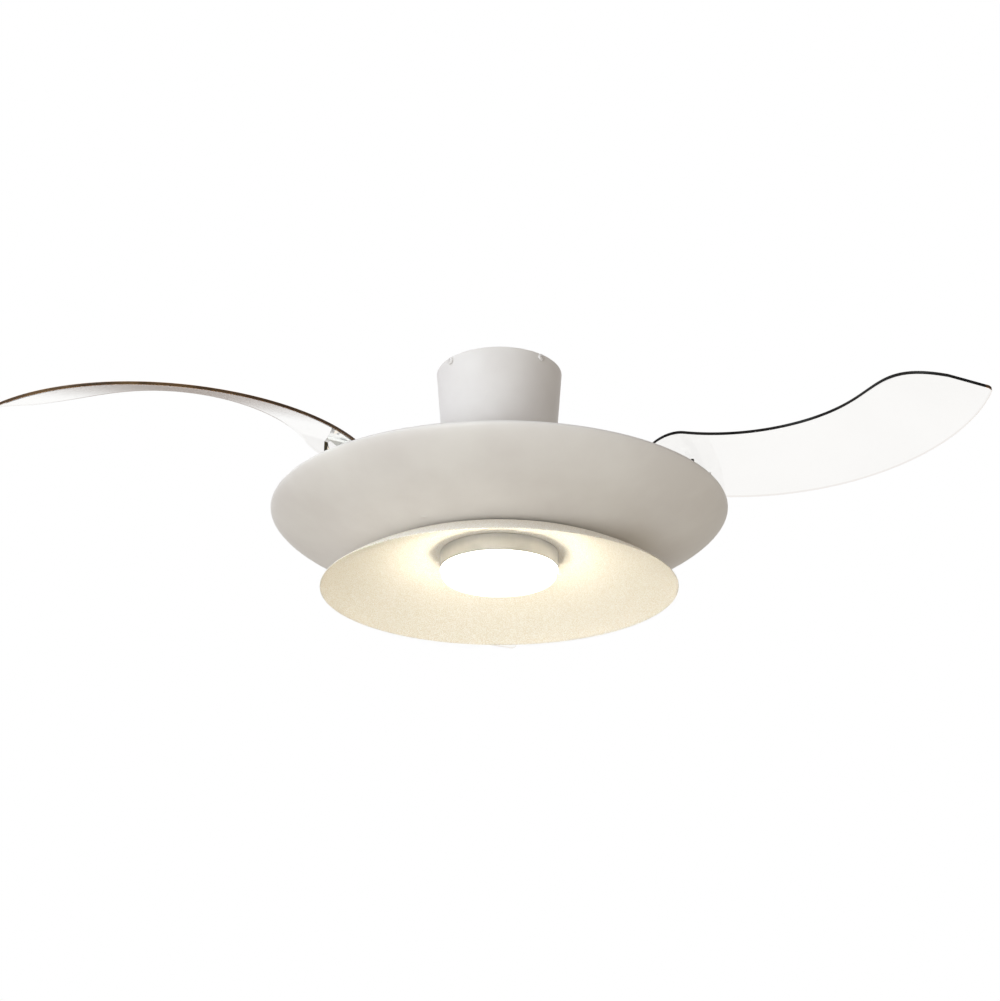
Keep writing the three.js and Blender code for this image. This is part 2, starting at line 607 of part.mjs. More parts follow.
// The disc carries the pivots and, on its raised ring, the gear that joins the blades' motion.
function bladeDisc() {
  const holeRadius = SHAFT_RADIUS + DISC_HOLE_CLEARANCE;
  const shelfRadius = GUIDE_RADIUS + GUIDE_SHELF;
  const shelfTop = GEAR_BOTTOM - GAP;
  const guideInner = GUIDE_RADIUS - GUIDE_WIDTH;
  const disc = turned([
    [holeRadius, DISC_BOTTOM], [DISC_RADIUS, DISC_BOTTOM], [DISC_RADIUS, DISC_TOP],
    [shelfRadius, DISC_TOP], [shelfRadius, shelfTop], [GUIDE_RADIUS, shelfTop],
    [GUIDE_RADIUS, GEAR_TOP], [guideInner, GEAR_TOP], [guideInner, DISC_TOP], [holeRadius, DISC_TOP],
  ], FINE);
  return cut(disc, pivotHoles(PIN_RADIUS + PIN_CLEARANCE));
}

function gearCover() {
  const inner = MOTOR_RADIUS + COVER_MOTOR_CLEARANCE;
  const plate = ring(inner, DISC_RADIUS - COVER_SETBACK, COVER_BOTTOM, COVER_TOP, FINE);
  const post = shift(bar(COVER_POST_RADIUS, DISC_TOP + GAP, COVER_TOP), PIVOT_CIRCLE + COVER_POST_OUTWARD, 0);
  const halfWay = PIVOT_AZIMUTH + 180 / BLADE_COUNT;
  return cut(join([plate, ...around(post, BLADE_COUNT, halfWay)]), pivotHoles(BOSS_RADIUS + BOSS_CLEARANCE));
}

const involute = (angle) => Math.tan(angle) - angle;

// One tooth's outline about angle zero, [radius, angle]: up one flank and down the other.
// A straight flank is near enough on the large gear.
function toothOutline(teeth, straightFlank) {
  const pitchRadius = GEAR_MODULE * teeth / 2;
  const baseRadius = pitchRadius * Math.cos(GEAR_PRESSURE_ANGLE);
  const tipRadius = pitchRadius + GEAR_MODULE * GEAR_ADDENDUM;
  const rootRadius = pitchRadius - GEAR_MODULE * GEAR_DEDENDUM;
  const halfAtPitch = Math.PI / teeth / 2 - GEAR_BACKLASH / 2 / pitchRadius;
  const halfAt = (radius) => {
    const pressure = Math.acos(Math.min(1, baseRadius / radius));
    return halfAtPitch + involute(GEAR_PRESSURE_ANGLE) - involute(pressure);
  };
  const footRadius = Math.max(rootRadius, baseRadius);
  const radii = straightFlank ? [rootRadius, tipRadius] : [footRadius, pitchRadius, tipRadius];
  const flank = radii.map((r) => [r, halfAt(r)]);
  if (radii[0] > rootRadius) flank.unshift([rootRadius, flank[0][1]]);
  const mirrored = flank.map(([r, a]) => [r, -a]);
  return [...mirrored, ...flank.reverse()];
}

const polar = (r, a) => [r * Math.cos(a), r * Math.sin(a)];

// Gear teeth stand only where the blades need them; elsewhere the rim stays at the root radius.
function syncGear() {
  const tooth = toothOutline(SYNC_TEETH, true);
  const step = 2 * Math.PI / SYNC_TEETH;
  const perBlade = SYNC_TEETH / BLADE_COUNT;
  const travel = FOLD_ANGLE * DEG * SECTOR_TEETH / SYNC_TEETH;
  const spare = 2;
  const before = Math.ceil(travel / step) + spare;
  const outline = [];
  for (let i = 0; i < SYNC_TEETH; i++) {
    const place = i % perBlade;
    const toothed = place <= spare || place >= perBlade - before;
    const angle = i * step + PIVOT_AZIMUTH * DEG;
    if (toothed) tooth.forEach(([r, a]) => outline.push(polar(r, a + angle)));
    else if (place % 2 === 0) outline.push(polar(tooth[0][0], angle));
  }
  const bore = bar(SYNC_INNER_RADIUS, GEAR_BOTTOM - PAST, GEAR_TOP + PAST, FINE);
  return slab(outline, GEAR_BOTTOM, GEAR_TOP).subtract(bore);
}

// ---- blades, drawn folded with the pivot at the origin and the rotor axis at x = -PIVOT_CIRCLE ----

const bladeZ = (arc, angle) => {
  const along = (BLADE_ROOT_ANGLE - angle) / (BLADE_ROOT_ANGLE - BLADE_TIP_ANGLE);
  return BLADE_ROOT_Z + BLADE_RISE * along + PITCH_SLOPE * (BLADE_OUTER_ARC - arc);
};

// The trailing edge runs out a little towards the tip and is drawn in towards the root.
function trailingArc(angle) {
  const tipWards = Math.max(0, (BLADE_FLARE_ANGLE - angle) / (BLADE_FLARE_ANGLE - BLADE_TIP_ANGLE));
  const rootWards = Math.max(0, (angle - BLADE_HEEL_ANGLE) / (BLADE_ROOT_ANGLE - BLADE_HEEL_ANGLE));
  return BLADE_OUTER_ARC + BLADE_TIP_FLARE * tipWards ** 2 - BLADE_HEEL * rootWards ** 2;
}

function leadingArc(angle) {
  const shortOfTip = BLADE_TIP_ANGLE + BLADE_TIP_ROUND;
  const rootWards = Math.max(0, (angle - BLADE_NARROW_ANGLE) / (BLADE_ROOT_ANGLE - BLADE_NARROW_ANGLE));
  const inner = BLADE_INNER_ARC + BLADE_ROOT_CUT * rootWards ** 2;
  if (angle >= shortOfTip) return inner;
  const drawnIn = (shortOfTip - angle) / BLADE_TIP_ROUND;
  const width = (1 - drawnIn ** BLADE_TIP_POWER) ** (1 / BLADE_TIP_POWER);
  const outer = trailingArc(angle);
  return outer - (outer - inner) * width;
}

// A curved slab that follows the blade's surface, between two offsets measured along Z.
// The angles run down, from the blade's root towards its tip.
function bladeSlab(angles, innerArc, outerArc, lower, upper, across) {
  const corners = [];
  const columns = across + 1;
  for (const offset of [lower, upper]) {
    for (const angle of angles) {
      for (let k = 0; k <= across; k++) {
        const arc = THREE.MathUtils.lerp(outerArc(angle), innerArc(angle), k / across);
        const [x, y] = polar(arc, angle * DEG);
        corners.push(x - PIVOT_CIRCLE, y, bladeZ(arc, angle) + offset);
      }
    }
  }
  const layer = angles.length * columns;
  const index = [];
  const quad = (a, b, c, d) => index.push(a, c, b, a, d, c);
  const at = (side, i, k) => side * layer + i * columns + k;
  const last = angles.length - 1;
  for (let i = 0; i < last; i++) {
    for (let k = 0; k < across; k++) {
      quad(at(1, i, k), at(1, i + 1, k), at(1, i + 1, k + 1), at(1, i, k + 1));
      quad(at(0, i, k), at(0, i, k + 1), at(0, i + 1, k + 1), at(0, i + 1, k));
    }
    quad(at(0, i, 0), at(0, i + 1, 0), at(1, i + 1, 0), at(1, i, 0));
    quad(at(0, i + 1, across), at(0, i, across), at(1, i, across), at(1, i + 1, across));
  }
  for (let k = 0; k < across; k++) {
    quad(at(0, 0, k + 1), at(0, 0, k), at(1, 0, k), at(1, 0, k + 1));
    quad(at(0, last, k), at(0, last, k + 1), at(1, last, k + 1), at(1, last, k));
  }
  const geometry = new THREE.BufferGeometry();
  geometry.setAttribute('position', new THREE.Float32BufferAttribute(corners, 3));
  geometry.setIndex(index);
  return solid(geometry);
}

// A bar square to the blade's surface, standing on it at one place.
function acrossBlade(body, arc, angle) {
  const [x, y] = polar(arc, angle * DEG);
  return turn(body.rotate([0, BLADE_PITCH, 0]), angle)
    .translate([x - PIVOT_CIRCLE, y, bladeZ(arc, angle)]);
}

const SCREW_ANGLES = [-BLADE_SCREW_ANGLE, BLADE_SCREW_ANGLE];

function screwHoles() {
  const reach = 2 * (BLADE_THICKNESS + PAD_THICKNESS);
  const hole = bar(SCREW_HOLE_RADIUS, -reach, reach, SMALL);
  return SCREW_ANGLES.map((angle) => acrossBlade(hole, BLADE_SCREW_ARC, angle));
}

// The web under the blade: an upright outer edge and a hollow curve that falls towards the pivot.
function fin() {
  const foot = ARM_TOP + GAP;
  const postInner = -FIN_REACH + FIN_POST;
  const head = bladeZ(PIVOT_CIRCLE + postInner, 0);
  const under = head - HALF_BLADE;
  const steps = 4;
  const curve = Array.from({ length: steps + 1 }, (_, i) => {
    const angle = i / steps * Math.PI / 2;
    const reach = FIN_REACH - FIN_POST - FIN_START;
    return [-FIN_START - reach * Math.cos(angle), under - (under - foot - FIN_HEEL) * Math.sin(angle)];
  });
  const outline = [[-FIN_START, foot], [-FIN_REACH, foot], [-FIN_REACH, head], [postInner, head], ...curve];
  return slab(outline, -FIN_THICKNESS / 2, FIN_THICKNESS / 2).rotate([90, 0, 0]);
}

function blade() {
  const straightEnd = BLADE_TIP_ANGLE + BLADE_TIP_ROUND;
  const steps = 12;
  const tipSteps = [0, 32, 52, 67, 79]; // closer together towards the tip
  const angles = [];
  for (let i = 0; i < steps; i++) angles.push(THREE.MathUtils.lerp(BLADE_ROOT_ANGLE, straightEnd, i / steps));
  tipSteps.forEach((a) => angles.push(straightEnd - BLADE_TIP_ROUND * Math.sin(a * DEG)));
  const sheet = bladeSlab(angles, leadingArc, trailingArc, -HALF_BLADE, HALF_BLADE, 3);
  return cut(join([sheet, fin()]), screwHoles());
}

// ---- blade holder: gear sector, boss, arm under the fin and slanted pad under the blade ----------

const SECTOR_FIRST = -0.5; // first and last tooth, in teeth from the line of centres
const SECTOR_LAST = 6.5;

function sectorPlate() {
  const tooth = toothOutline(SECTOR_TEETH, false);
  const step = 2 * Math.PI / SECTOR_TEETH;
  const outline = [[0, 0]];
  for (let i = SECTOR_FIRST; i <= SECTOR_LAST; i++) {
    const angle = Math.PI + i * step - FOLD_ANGLE * DEG;
    tooth.forEach(([r, a]) => outline.push(polar(r, a + angle)));
  }
  return slab(outline, GEAR_BOTTOM, GEAR_TOP);
}

// The boss and the arm are trimmed by the space under the blade.
function bladeHolder() {
  const padTop = -HALF_BLADE - GAP;
  const padAngles = [1, 1 / 3, -1 / 3, -1].map((share) => share * PAD_HALF_ANGLE);
  const pad = bladeSlab(padAngles, () => PAD_INNER, () => PAD_OUTER, padTop - PAD_DEEP, padTop, 1);
  const trimAngles = padAngles.map((angle) => 2 * angle);
  const trimHeight = BOSS_RADIUS + ARM_REACH;
  const trim = bladeSlab(trimAngles, () => PAD_INNER - PAD_INWARD, () => PAD_OUTER + PAD_INWARD,
    padTop, padTop + trimHeight, 1);
  const post = bar(BOSS_RADIUS, GEAR_BOTTOM, ARM_TOP + BOSS_RADIUS);
  const arm = block([ARM_REACH, ARM_WIDTH, ARM_HEIGHT], [-ARM_REACH / 2, 0, ARM_TOP - ARM_HEIGHT / 2]);
  const bore = bar(PIN_RADIUS + PIN_CLEARANCE, GEAR_BOTTOM - PAST, PIN_TOP + GAP);
  const whole = join([sectorPlate(), post.subtract(trim), pad, arm.subtract(trim)]);
  return cut(whole, [bore, ...screwHoles()]);
}

function bladeScrew(angle) {
  const length = BLADE_THICKNESS + GAP + PAD_THICKNESS;
  const body = screw(SCREW_HEAD_RADIUS, SCREW_HEAD_HEIGHT, SCREW_RADIUS, length);
  return acrossBlade(shift(body, 0, 0, BLADE_THICKNESS / 2 + GAP), BLADE_SCREW_ARC, angle);
}

function pivotPin() {
  const headTop = DISC_BOTTOM - GAP;
  const headBottom = headTop - PIN_HEAD_HEIGHT;
  const headRadius = PIN_RADIUS + PIN_HEAD_WIDTH;
  return turned([
    [0, headBottom], [headRadius, headBottom], [headRadius, headTop],
    [PIN_RADIUS, headTop], [PIN_RADIUS, PIN_TOP], [0, PIN_TOP],
  ], COARSE);
}

// A coil between the disc and the gear sector, round the pivot pin.
function torsionSpring() {
  const bottom = DISC_TOP + GAP + SPRING_WIRE / 2;
  const top = GEAR_BOTTOM - GAP - SPRING_WIRE / 2;
  const radius = PIN_RADIUS + SPRING_STAND_OFF;
  class Helix extends THREE.Curve {
    getPoint(t) {
      const [x, y] = polar(radius, t * SPRING_TURNS * 2 * Math.PI);
      return new THREE.Vector3(x, y, bottom + (top - bottom) * t);
    }
  }
  const section = new THREE.Shape(Array.from({ length: 4 }, (_, i) =>
    new THREE.Vector2(...polar(SPRING_WIRE / 2, i * Math.PI / 2))));
  const options = { steps: SPRING_TURNS * 10, extrudePath: new Helix(), bevelEnabled: false };
  return solid(new THREE.ExtrudeGeometry(section, options));
}

// A rubber block round the outside of the boss that both ends of the sector meet.
function bumpStop() {
  const sectorEnd = (SECTOR_LAST + 0.5) * 360 / SECTOR_TEETH;
  const half = 180 - sectorEnd - STOP_SLACK;
  const inner = BOSS_RADIUS + STOP_CLEARANCE;
  const steps = 8;
  const arc = (radius) => Array.from({ length: steps + 1 }, (_, i) =>
    polar(radius, half * (2 * i / steps - 1) * DEG));
  return slab([...arc(inner + STOP_WIDTH), ...arc(inner).reverse()], DISC_TOP + GAP, GEAR_TOP);
}

// ---- body, dish and lamp ------------------------------------------------------------------------

// From the widest circle down to the opening.
function bodyProfile(inset) {
  const steps = 7;
  const line = [];
  for (let i = 0; i < steps; i++) {
    const angle = i / steps * Math.PI / 2;
    const reach = (BODY_RADIUS - BODY_BOTTOM_RADIUS - inset) * Math.cos(angle) ** (2 / BODY_POWER);
    const drop = (BODY_WIDEST_Z - BODY_BOTTOM_Z - inset) * Math.sin(angle) ** (2 / BODY_POWER);
    line.push([BODY_BOTTOM_RADIUS + reach, BODY_WIDEST_Z - drop]);
  }
  line.push([BODY_OPENING_RADIUS, BODY_BOTTOM_Z + inset]);
  return line;
}

function bodyBowl() {
  const rimTop = BODY_WIDEST_Z + BODY_RIM_ROUND;
  const lipRadius = BODY_RADIUS - BODY_LIP_WIDTH;
  const corner = BODY_RIM_ROUND * (1 - Math.SQRT1_2);
  const shell = turned([
    ...bodyProfile(BODY_WALL).reverse(),
    [lipRadius, rimTop - BODY_WALL],
    [lipRadius, rimTop],
    [BODY_RADIUS - BODY_RIM_ROUND, rimTop],
    [BODY_RADIUS - corner, rimTop - corner],
    ...bodyProfile(0),
  ], FINE);
  const postTop = MOUNT_PLATE_BOTTOM - GAP;
  const post = bar(BODY_POST_RADIUS, BODY_BOTTOM_Z + BODY_WALL / 2, postTop, SMALL);
  const bore = bar(SCREW_HOLE_RADIUS, postTop - SCREW_BITE - 2 * PAST, postTop + PAST, SMALL);
  const placed = (body) => around(shift(body, BODY_POST_CIRCLE, 0), BODY_POST_COUNT);
  const outside = turned([
    [0, BODY_BOTTOM_Z], ...bodyProfile(0).reverse(), [0, BODY_WIDEST_Z],
  ], FINE);
  return cut(join([shell, ...placed(post.intersect(shift(outside, -BODY_POST_CIRCLE, 0)))]), placed(bore));
}

const aroundLamp = (body) =>
  around(shift(body, LAMP_SCREW_CIRCLE, 0), LAMP_SCREW_COUNT, LAMP_SCREW_AZIMUTH);

function dishReflector() {
  const steps = 7;
  const crowding = 0.7; // circles lie closer together towards the rim, where the dish is steep
  const radii = Array.from({ length: steps + 1 }, (_, i) =>
    THREE.MathUtils.lerp(DISH_HOLE_RADIUS, DISH_RADIUS, (i / steps) ** crowding));
  const inner = radii.map((r) => [r, dishZ(r)]);
  const outer = radii.map((r) => [r, dishZ(r) + DISH_WALL]).reverse();
  const hole = bar(SCREW_HOLE_RADIUS, RIM_Z, RIM_Z + DISH_DEPTH + DISH_WALL + PAST, SMALL);
  return cut(turned([...inner, ...outer], FINE), aroundLamp(hole));
}

function mountPlate() {
  const radius = BODY_POST_CIRCLE + MOUNT_PLATE_EDGE;
  const plate = ring(ON_SHAFT, radius, MOUNT_PLATE_BOTTOM, MOUNT_PLATE_TOP, MEDIUM);
  const postBottom = dishZ(LAMP_SCREW_CIRCLE) + DISH_WALL + GAP;
  const post = bar(MOUNT_POST_RADIUS, postBottom, MOUNT_PLATE_TOP, SMALL);
  const bore = bar(SCREW_HOLE_RADIUS, postBottom - PAST, MOUNT_PLATE_TOP - PAST, SMALL);
  const bowlHole = bar(SCREW_HOLE_RADIUS, MOUNT_PLATE_BOTTOM - PAST, MOUNT_PLATE_TOP + PAST, SMALL);
  return cut(join([plate, ...aroundLamp(post)]), [
    ...aroundLamp(bore),
    ...around(shift(bowlHole, BODY_POST_CIRCLE, 0), BODY_POST_COUNT),
  ]);
}

function bowlScrew() {
  const body = screw(SCREW_HEAD_RADIUS, SCREW_HEAD_HEIGHT, SCREW_RADIUS, MOUNT_PLATE_SHEET + SCREW_BITE);
  return shift(body, BODY_POST_CIRCLE, 0, MOUNT_PLATE_TOP + GAP);
}

// Lamp screws point up from under the lamp base, through the dish, into the plate's posts.
function lampScrew() {
  const length = LAMP_BASE_HEIGHT + LAMP_RING_WALL + DISH_WALL + LAMP_SCREW_BITE;
  const body = screw(LAMP_SCREW_HEAD_RADIUS, LAMP_SCREW_HEAD_HEIGHT, SCREW_RADIUS, length);
  return shift(body.rotate([180, 0, 0]), 0, 0, LAMP_BASE_BOTTOM - GAP);
}

function ledDriver() {
  const depth = DRIVER_SIZE[1];
  const top = MOUNT_PLATE_BOTTOM - GAP;
  const box = block(DRIVER_SIZE, [DRIVER_OFFSET, 0, top - DRIVER_SIZE[2] / 2]);
  const sunk = DRIVER_END[1] / 2 - GAP;
  const ends = [-1, 1].map((sign) =>
    block(DRIVER_END, [DRIVER_OFFSET, sign * (depth / 2 + sunk), top - DRIVER_END[2] / 2]));
  return turn(join([box, ...ends]), DRIVER_AZIMUTH);
}

function lampRing() {
  const flangeRadius = LAMP_INSIDE - LAMP_RING_FLANGE;
  const flangeBottom = LAMP_TOP - LAMP_RING_WALL;
  return turned([
    [flangeRadius, flangeBottom], [LAMP_INSIDE, flangeBottom], [LAMP_INSIDE, LAMP_RING_BOTTOM],
    [LAMP_RADIUS, LAMP_RING_BOTTOM], [LAMP_RADIUS, LAMP_TOP], [flangeRadius, LAMP_TOP],
  ], LAMP_FACETS);
}

function lampBase() {
  const plate = ring(LAMP_BASE_HOLE_RADIUS, LAMP_INSIDE - GAP, LAMP_BASE_BOTTOM, LAMP_BASE_TOP, LAMP_FACETS);
  const hole = bar(SCREW_HOLE_RADIUS, LAMP_BASE_BOTTOM - PAST, LAMP_BASE_TOP + PAST, SMALL);
  return cut(plate, aroundLamp(hole));
}

function ledBoard() {
  const board = bar(LED_BOARD_RADIUS, LED_BOARD_BOTTOM, LED_BOARD_TOP, COARSE);
  const led = bar(LED_RADIUS, LED_BOARD_BOTTOM - LED_HEIGHT, LED_BOARD_BOTTOM + LED_BOARD_HEIGHT / 2, 6);
  return join([board, ...around(shift(led, LED_BOARD_RADIUS - LED_INSET, 0), LED_COUNT)]);
}

// An opal cup, open at the top, with a rounded lower edge.
function diffuser() {
  const radius = LAMP_INSIDE - GAP;
  const roundSteps = 3;
  const edge = (inset) => {
    const line = [[radius - inset, LAMP_BASE_BOTTOM - DIFFUSER_TOP_GAP]];
    for (let i = 0; i <= roundSteps; i++) {
      const [across, down] = polar(DIFFUSER_ROUND - inset, i / roundSteps * Math.PI / 2);
      line.push([radius - DIFFUSER_ROUND + across, DIFFUSER_BOTTOM + DIFFUSER_ROUND - down]);
    }
    line.push([0, DIFFUSER_BOTTOM + inset]);
    return line;
  };
  return turned([...edge(0), ...edge(DIFFUSER_WALL).reverse()], LAMP_FACETS);
}

// ---- assembly -------------------------------------------------------------------------------------

function buildCeilingSide(housing) {
  housing.add(named('ceiling_bracket', ceilingBracket(), STEEL));
  housing.add(named('hanger_yoke', hangerYoke(), STEEL));
  housing.add(named('canopy', canopy(), WHITE_PAINT));
  for (let i = 0; i < CANOPY_SCREW_COUNT; i++) {
    const azimuth = CANOPY_SCREW_AZIMUTH + i * 360 / CANOPY_SCREW_COUNT;
    housing.add(named(`canopy_screw_${i + 1}`, canopyScrew(azimuth), WHITE_PAINT));
  }
  const topNut = hexNut(SHAFT_RADIUS + TOP_NUT_WIDTH, ON_SHAFT, TOP_NUT_BOTTOM, TOP_NUT_TOP);
  housing.add(named('receiver_box', receiverBox(), BLACK_PLASTIC));
  housing.add(named('terminal_block', terminalBlock(), WHITE_PLASTIC));
  housing.add(named('rubber_damper', rubberDamper(), RUBBER));
  housing.add(named('shaft_top_nut', topNut, STEEL));
  housing.add(named('hollow_shaft', hollowShaft(), STEEL));
}

function buildMotor(housing, rotor) {
  housing.add(named('stator_core', statorCore(), DARK_STEEL));
  housing.add(named('upper_winding', winding(STATOR_TOP + GAP), COPPER));
  housing.add(named('lower_winding', winding(STATOR_BOTTOM - GAP - WINDING_HEIGHT), COPPER));
  housing.add(named('upper_bearing', bearing(UPPER_BEARING_TOP - BEARING_WIDTH), STEEL));
  housing.add(named('lower_bearing', bearing(LOWER_BEARING_BOTTOM), STEEL));
  rotor.add(named('rotor_upper_shell', upperShell(), WHITE_PAINT));
  rotor.add(named('rotor_lower_shell', lowerShell(), WHITE_PAINT));
  rotor.add(named('magnet_ring', magnetRing(), MAGNET));
}

function buildBlades(rotor) {
  rotor.add(named('blade_disc', bladeDisc(), ALUMINIUM));
  rotor.add(named('gear_cover', gearCover(), WHITE_PLASTIC));
  rotor.add(named('sync_gear', syncGear(), WHITE_PLASTIC));
  for (let i = 1; i <= BLADE_COUNT; i++) {
    const azimuth = PIVOT_AZIMUTH + (i - 1) * 360 / BLADE_COUNT;
    const station = new THREE.Group();
    station.position.set(...polar(PIVOT_CIRCLE, azimuth * DEG), 0);
    station.rotation.z = azimuth * DEG;
    const moving = new THREE.Group();
    moving.rotation.z = FOLD_ANGLE * DEG;
    station.add(named(`pivot_pin_${i}`, pivotPin(), STEEL));
    station.add(named(`torsion_spring_${i}`, torsionSpring(), STEEL));
    station.add(named(`bump_stop_${i}`, bumpStop(), RUBBER));
    moving.add(named(`blade_holder_${i}`, bladeHolder(), WHITE_PLASTIC));
    moving.add(named(`blade_${i}`, blade(), CLEAR_ACRYLIC));
    SCREW_ANGLES.forEach((angle, k) => {
      moving.add(named(`blade_${i}_screw_${k + 1}`, bladeScrew(angle), STEEL));
    });
    station.add(moving);
    rotor.add(station);
  }
}

function buildBody(housing) {
  const spacer = ring(ON_SHAFT, SPACER_RADIUS, MOUNT_PLATE_TOP + GAP, LOWER_BEARING_BOTTOM - GAP, COARSE);
  const nutTop = LOWER_NUT_BOTTOM + LOWER_NUT_HEIGHT;
  const lowerNut = hexNut(SHAFT_RADIUS + LOWER_NUT_WIDTH, ON_SHAFT, LOWER_NUT_BOTTOM, nutTop);
  housing.add(named('lower_spacer', spacer, ALUMINIUM));
  housing.add(named('lower_mount_plate', mountPlate(), STEEL));
  housing.add(named('lower_shaft_nut', lowerNut, BRASS));
  housing.add(named('body_bowl', bodyBowl(), WHITE_PAINT));
  around(bowlScrew(), BODY_POST_COUNT).forEach((body, i) => {
    housing.add(named(`bowl_screw_${i + 1}`, body, STEEL));
  });
  housing.add(named('led_driver', ledDriver(), WHITE_PLASTIC));
  housing.add(named('dish_reflector', dishReflector(), DISH_PAINT));
}

function buildLamp(housing) {
  housing.add(named('lamp_ring', lampRing(), ALUMINIUM));
  housing.add(named('lamp_base', lampBase(), ALUMINIUM));
  aroundLamp(lampScrew()).forEach((body, i) => housing.add(named(`lamp_screw_${i + 1}`, body, STEEL)));
  housing.add(named('led_board', ledBoard(), WHITE_PLASTIC));
  housing.add(named('diffuser', diffuser(), OPAL));
}

const fan = new THREE.Group();
const rotor = new THREE.Group();
buildCeilingSide(fan);
buildMotor(fan, rotor);
buildBlades(rotor);
buildBody(fan);
buildLamp(fan);
fan.add(rotor);

export default fan;
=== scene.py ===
"""Retractable blade ceiling fan: the visible surfaces, built round the fixed frame.

Shapes are written in millimetres, with +Z up and z = 0 at the ceiling, and become metres in new_mesh.
"""

import json
import math

import bmesh
import bpy
from mathutils import Matrix, Vector


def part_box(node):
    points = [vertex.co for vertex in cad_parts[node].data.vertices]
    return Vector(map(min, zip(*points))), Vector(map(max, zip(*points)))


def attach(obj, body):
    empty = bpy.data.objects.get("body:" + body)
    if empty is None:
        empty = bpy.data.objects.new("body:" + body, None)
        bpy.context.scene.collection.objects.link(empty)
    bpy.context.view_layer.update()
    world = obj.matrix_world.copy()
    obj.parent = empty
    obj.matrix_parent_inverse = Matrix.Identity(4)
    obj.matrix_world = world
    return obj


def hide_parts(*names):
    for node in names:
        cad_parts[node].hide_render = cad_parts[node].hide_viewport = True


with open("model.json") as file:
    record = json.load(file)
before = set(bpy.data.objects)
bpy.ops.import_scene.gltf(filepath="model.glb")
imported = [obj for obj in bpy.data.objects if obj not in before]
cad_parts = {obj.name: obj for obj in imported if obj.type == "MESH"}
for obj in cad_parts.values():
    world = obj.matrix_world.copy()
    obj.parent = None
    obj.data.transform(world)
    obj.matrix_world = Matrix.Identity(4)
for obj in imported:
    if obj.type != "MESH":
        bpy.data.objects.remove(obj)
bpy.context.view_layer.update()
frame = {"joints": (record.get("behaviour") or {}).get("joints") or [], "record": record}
scene = bpy.context.scene
record = frame["record"]

MM = 0.001
DEG = math.pi / 180
GAP = 0.3  # between faces that rest on each other

BODY_OF = {node: body for body, nodes in record["behaviour"]["bodies"].items() for node in nodes}
SLOT_OF = {row["node"]: row["material_slot"] for row in record["subparts"]}
JOINTS = {joint["name"]: joint for joint in frame["joints"]}


# ---- sizes from the frame ----------------------------------------------------------------------

def low(node):
    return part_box(node)[0].z / MM


def high(node):
    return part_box(node)[1].z / MM


def span(node):
    return low(node), high(node)


def reach(node):
    """Radius of a node that is centred on the vertical axis."""
    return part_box(node)[1].x / MM


FACETS = 192
MEDIUM = 72
SMALL = 32
SHARP_EDGE = 38 * DEG
NO_LENGTH = 1e-6  # metres

RIM_Z = low("dish_reflector")
BRACKET_SHEET = 2.5
CANOPY_TAPER = 4.9
CANOPY_STRAIGHT = 58
CANOPY_WALL = 1.6
CANOPY_FLAT = 14
CANOPY_SCREW_AZIMUTHS = [40.5 + 90 * i for i in range(4)]
CANOPY_SCREW_DROP = 5
EAR_CLEARANCE = 1.6
EAR_DROP = 11
EAR_WIDTH = 12

SHAFT_RADIUS = reach("hollow_shaft")
ON_SHAFT = SHAFT_RADIUS + GAP
SHAFT_WALL = 3
TOP_NUT_RADIUS = 15
LOWER_NUT_RADIUS = SHAFT_RADIUS + 5
DAMPER_RADIUS = 17
THREAD_DEPTH = 0.35

MOTOR_SHEET = 2.5
BEARING_RADIUS = SHAFT_RADIUS + 8

BODY_WALL = 1.6
BODY_POWER = 1.42
BODY_RIM_ROUND = 3
BODY_RIM_DROP = 2.7  # the rim as seen stands this much lower than the frame's
BODY_LIP_WIDTH = 15
BODY_OPENING = 128
BODY_BOTTOM = 133
POST_CIRCLE = 145
POST_RADIUS = 5
THIRDS = [120 * i for i in range(3)]
MOUNT_SHEET = 2

DISH_RADIUS = reach("dish_reflector")
DISH_DEPTH = 46.4
DISH_POWER = 3
DISH_WALL = 1.2
DISH_HOLE = 14
LAMP_SHEET = 1.5
LAMP_SCREW_CIRCLE = 46
LAMP_AZIMUTHS = [30 + 120 * i for i in range(3)]

DISC_SHEET = 2.5
DISC_TOP = low("blade_disc") + DISC_SHEET
GEAR_TOP = high("sync_gear")
GEAR_BOTTOM = low("sync_gear")
COVER_SHEET = 1.2

BLADE_COUNT = 3
PIVOTS = [Vector(JOINTS[f"blade_{i}_fold"]["pos_m"]) / MM for i in (1, 2, 3)]
PIVOT_CIRCLE = PIVOTS[0].xy.length
PIVOT_AZIMUTHS = [math.degrees(math.atan2(p.y, p.x)) for p in PIVOTS]
FOLD_ANGLE = -JOINTS["blade_1_fold"]["range_deg"][0]
OUTER_ARC = PIVOT_CIRCLE + 17.3
INNER_ARC = OUTER_ARC - 88.4
ROOT_ANGLE = 18.8
TIP_ANGLE = -112.9
TIP_ROUND = 42
TIP_POWER = 3.2
NARROW_ANGLE = -51
ROOT_CUT = 4.5
HEEL = 14
HEEL_ANGLE = -55
TIP_FLARE = 3
FLARE_ANGLE = -80
TIP_END = TIP_ANGLE + TIP_ROUND * (1 - math.sin(79 * DEG))  # the tip's straight end
TIP_CORNER = 4
ROOT_CORNER = 9
LEADING_CORNER = 24
BLADE_ROOT_Z = DISC_TOP + 17.6
BLADE_RISE = 7.3
BLADE_PITCH = 23.1
PITCH_SLOPE = math.tan(BLADE_PITCH * DEG)
BLADE_THICKNESS = 3
HALF_BLADE = BLADE_THICKNESS / 2 / math.cos(BLADE_PITCH * DEG)
BLADE_SCREW_ARC = PIVOT_CIRCLE - 7
BLADE_SCREW_ANGLES = (-6, 6)
ARM_TOP = DISC_TOP + 20.5
PIN_TOP = DISC_TOP + 15.5
PIN_RADIUS = 5
BOSS_RADIUS = 13
SCREW_HOLE = 2.3
SCREW_HEAD = 4
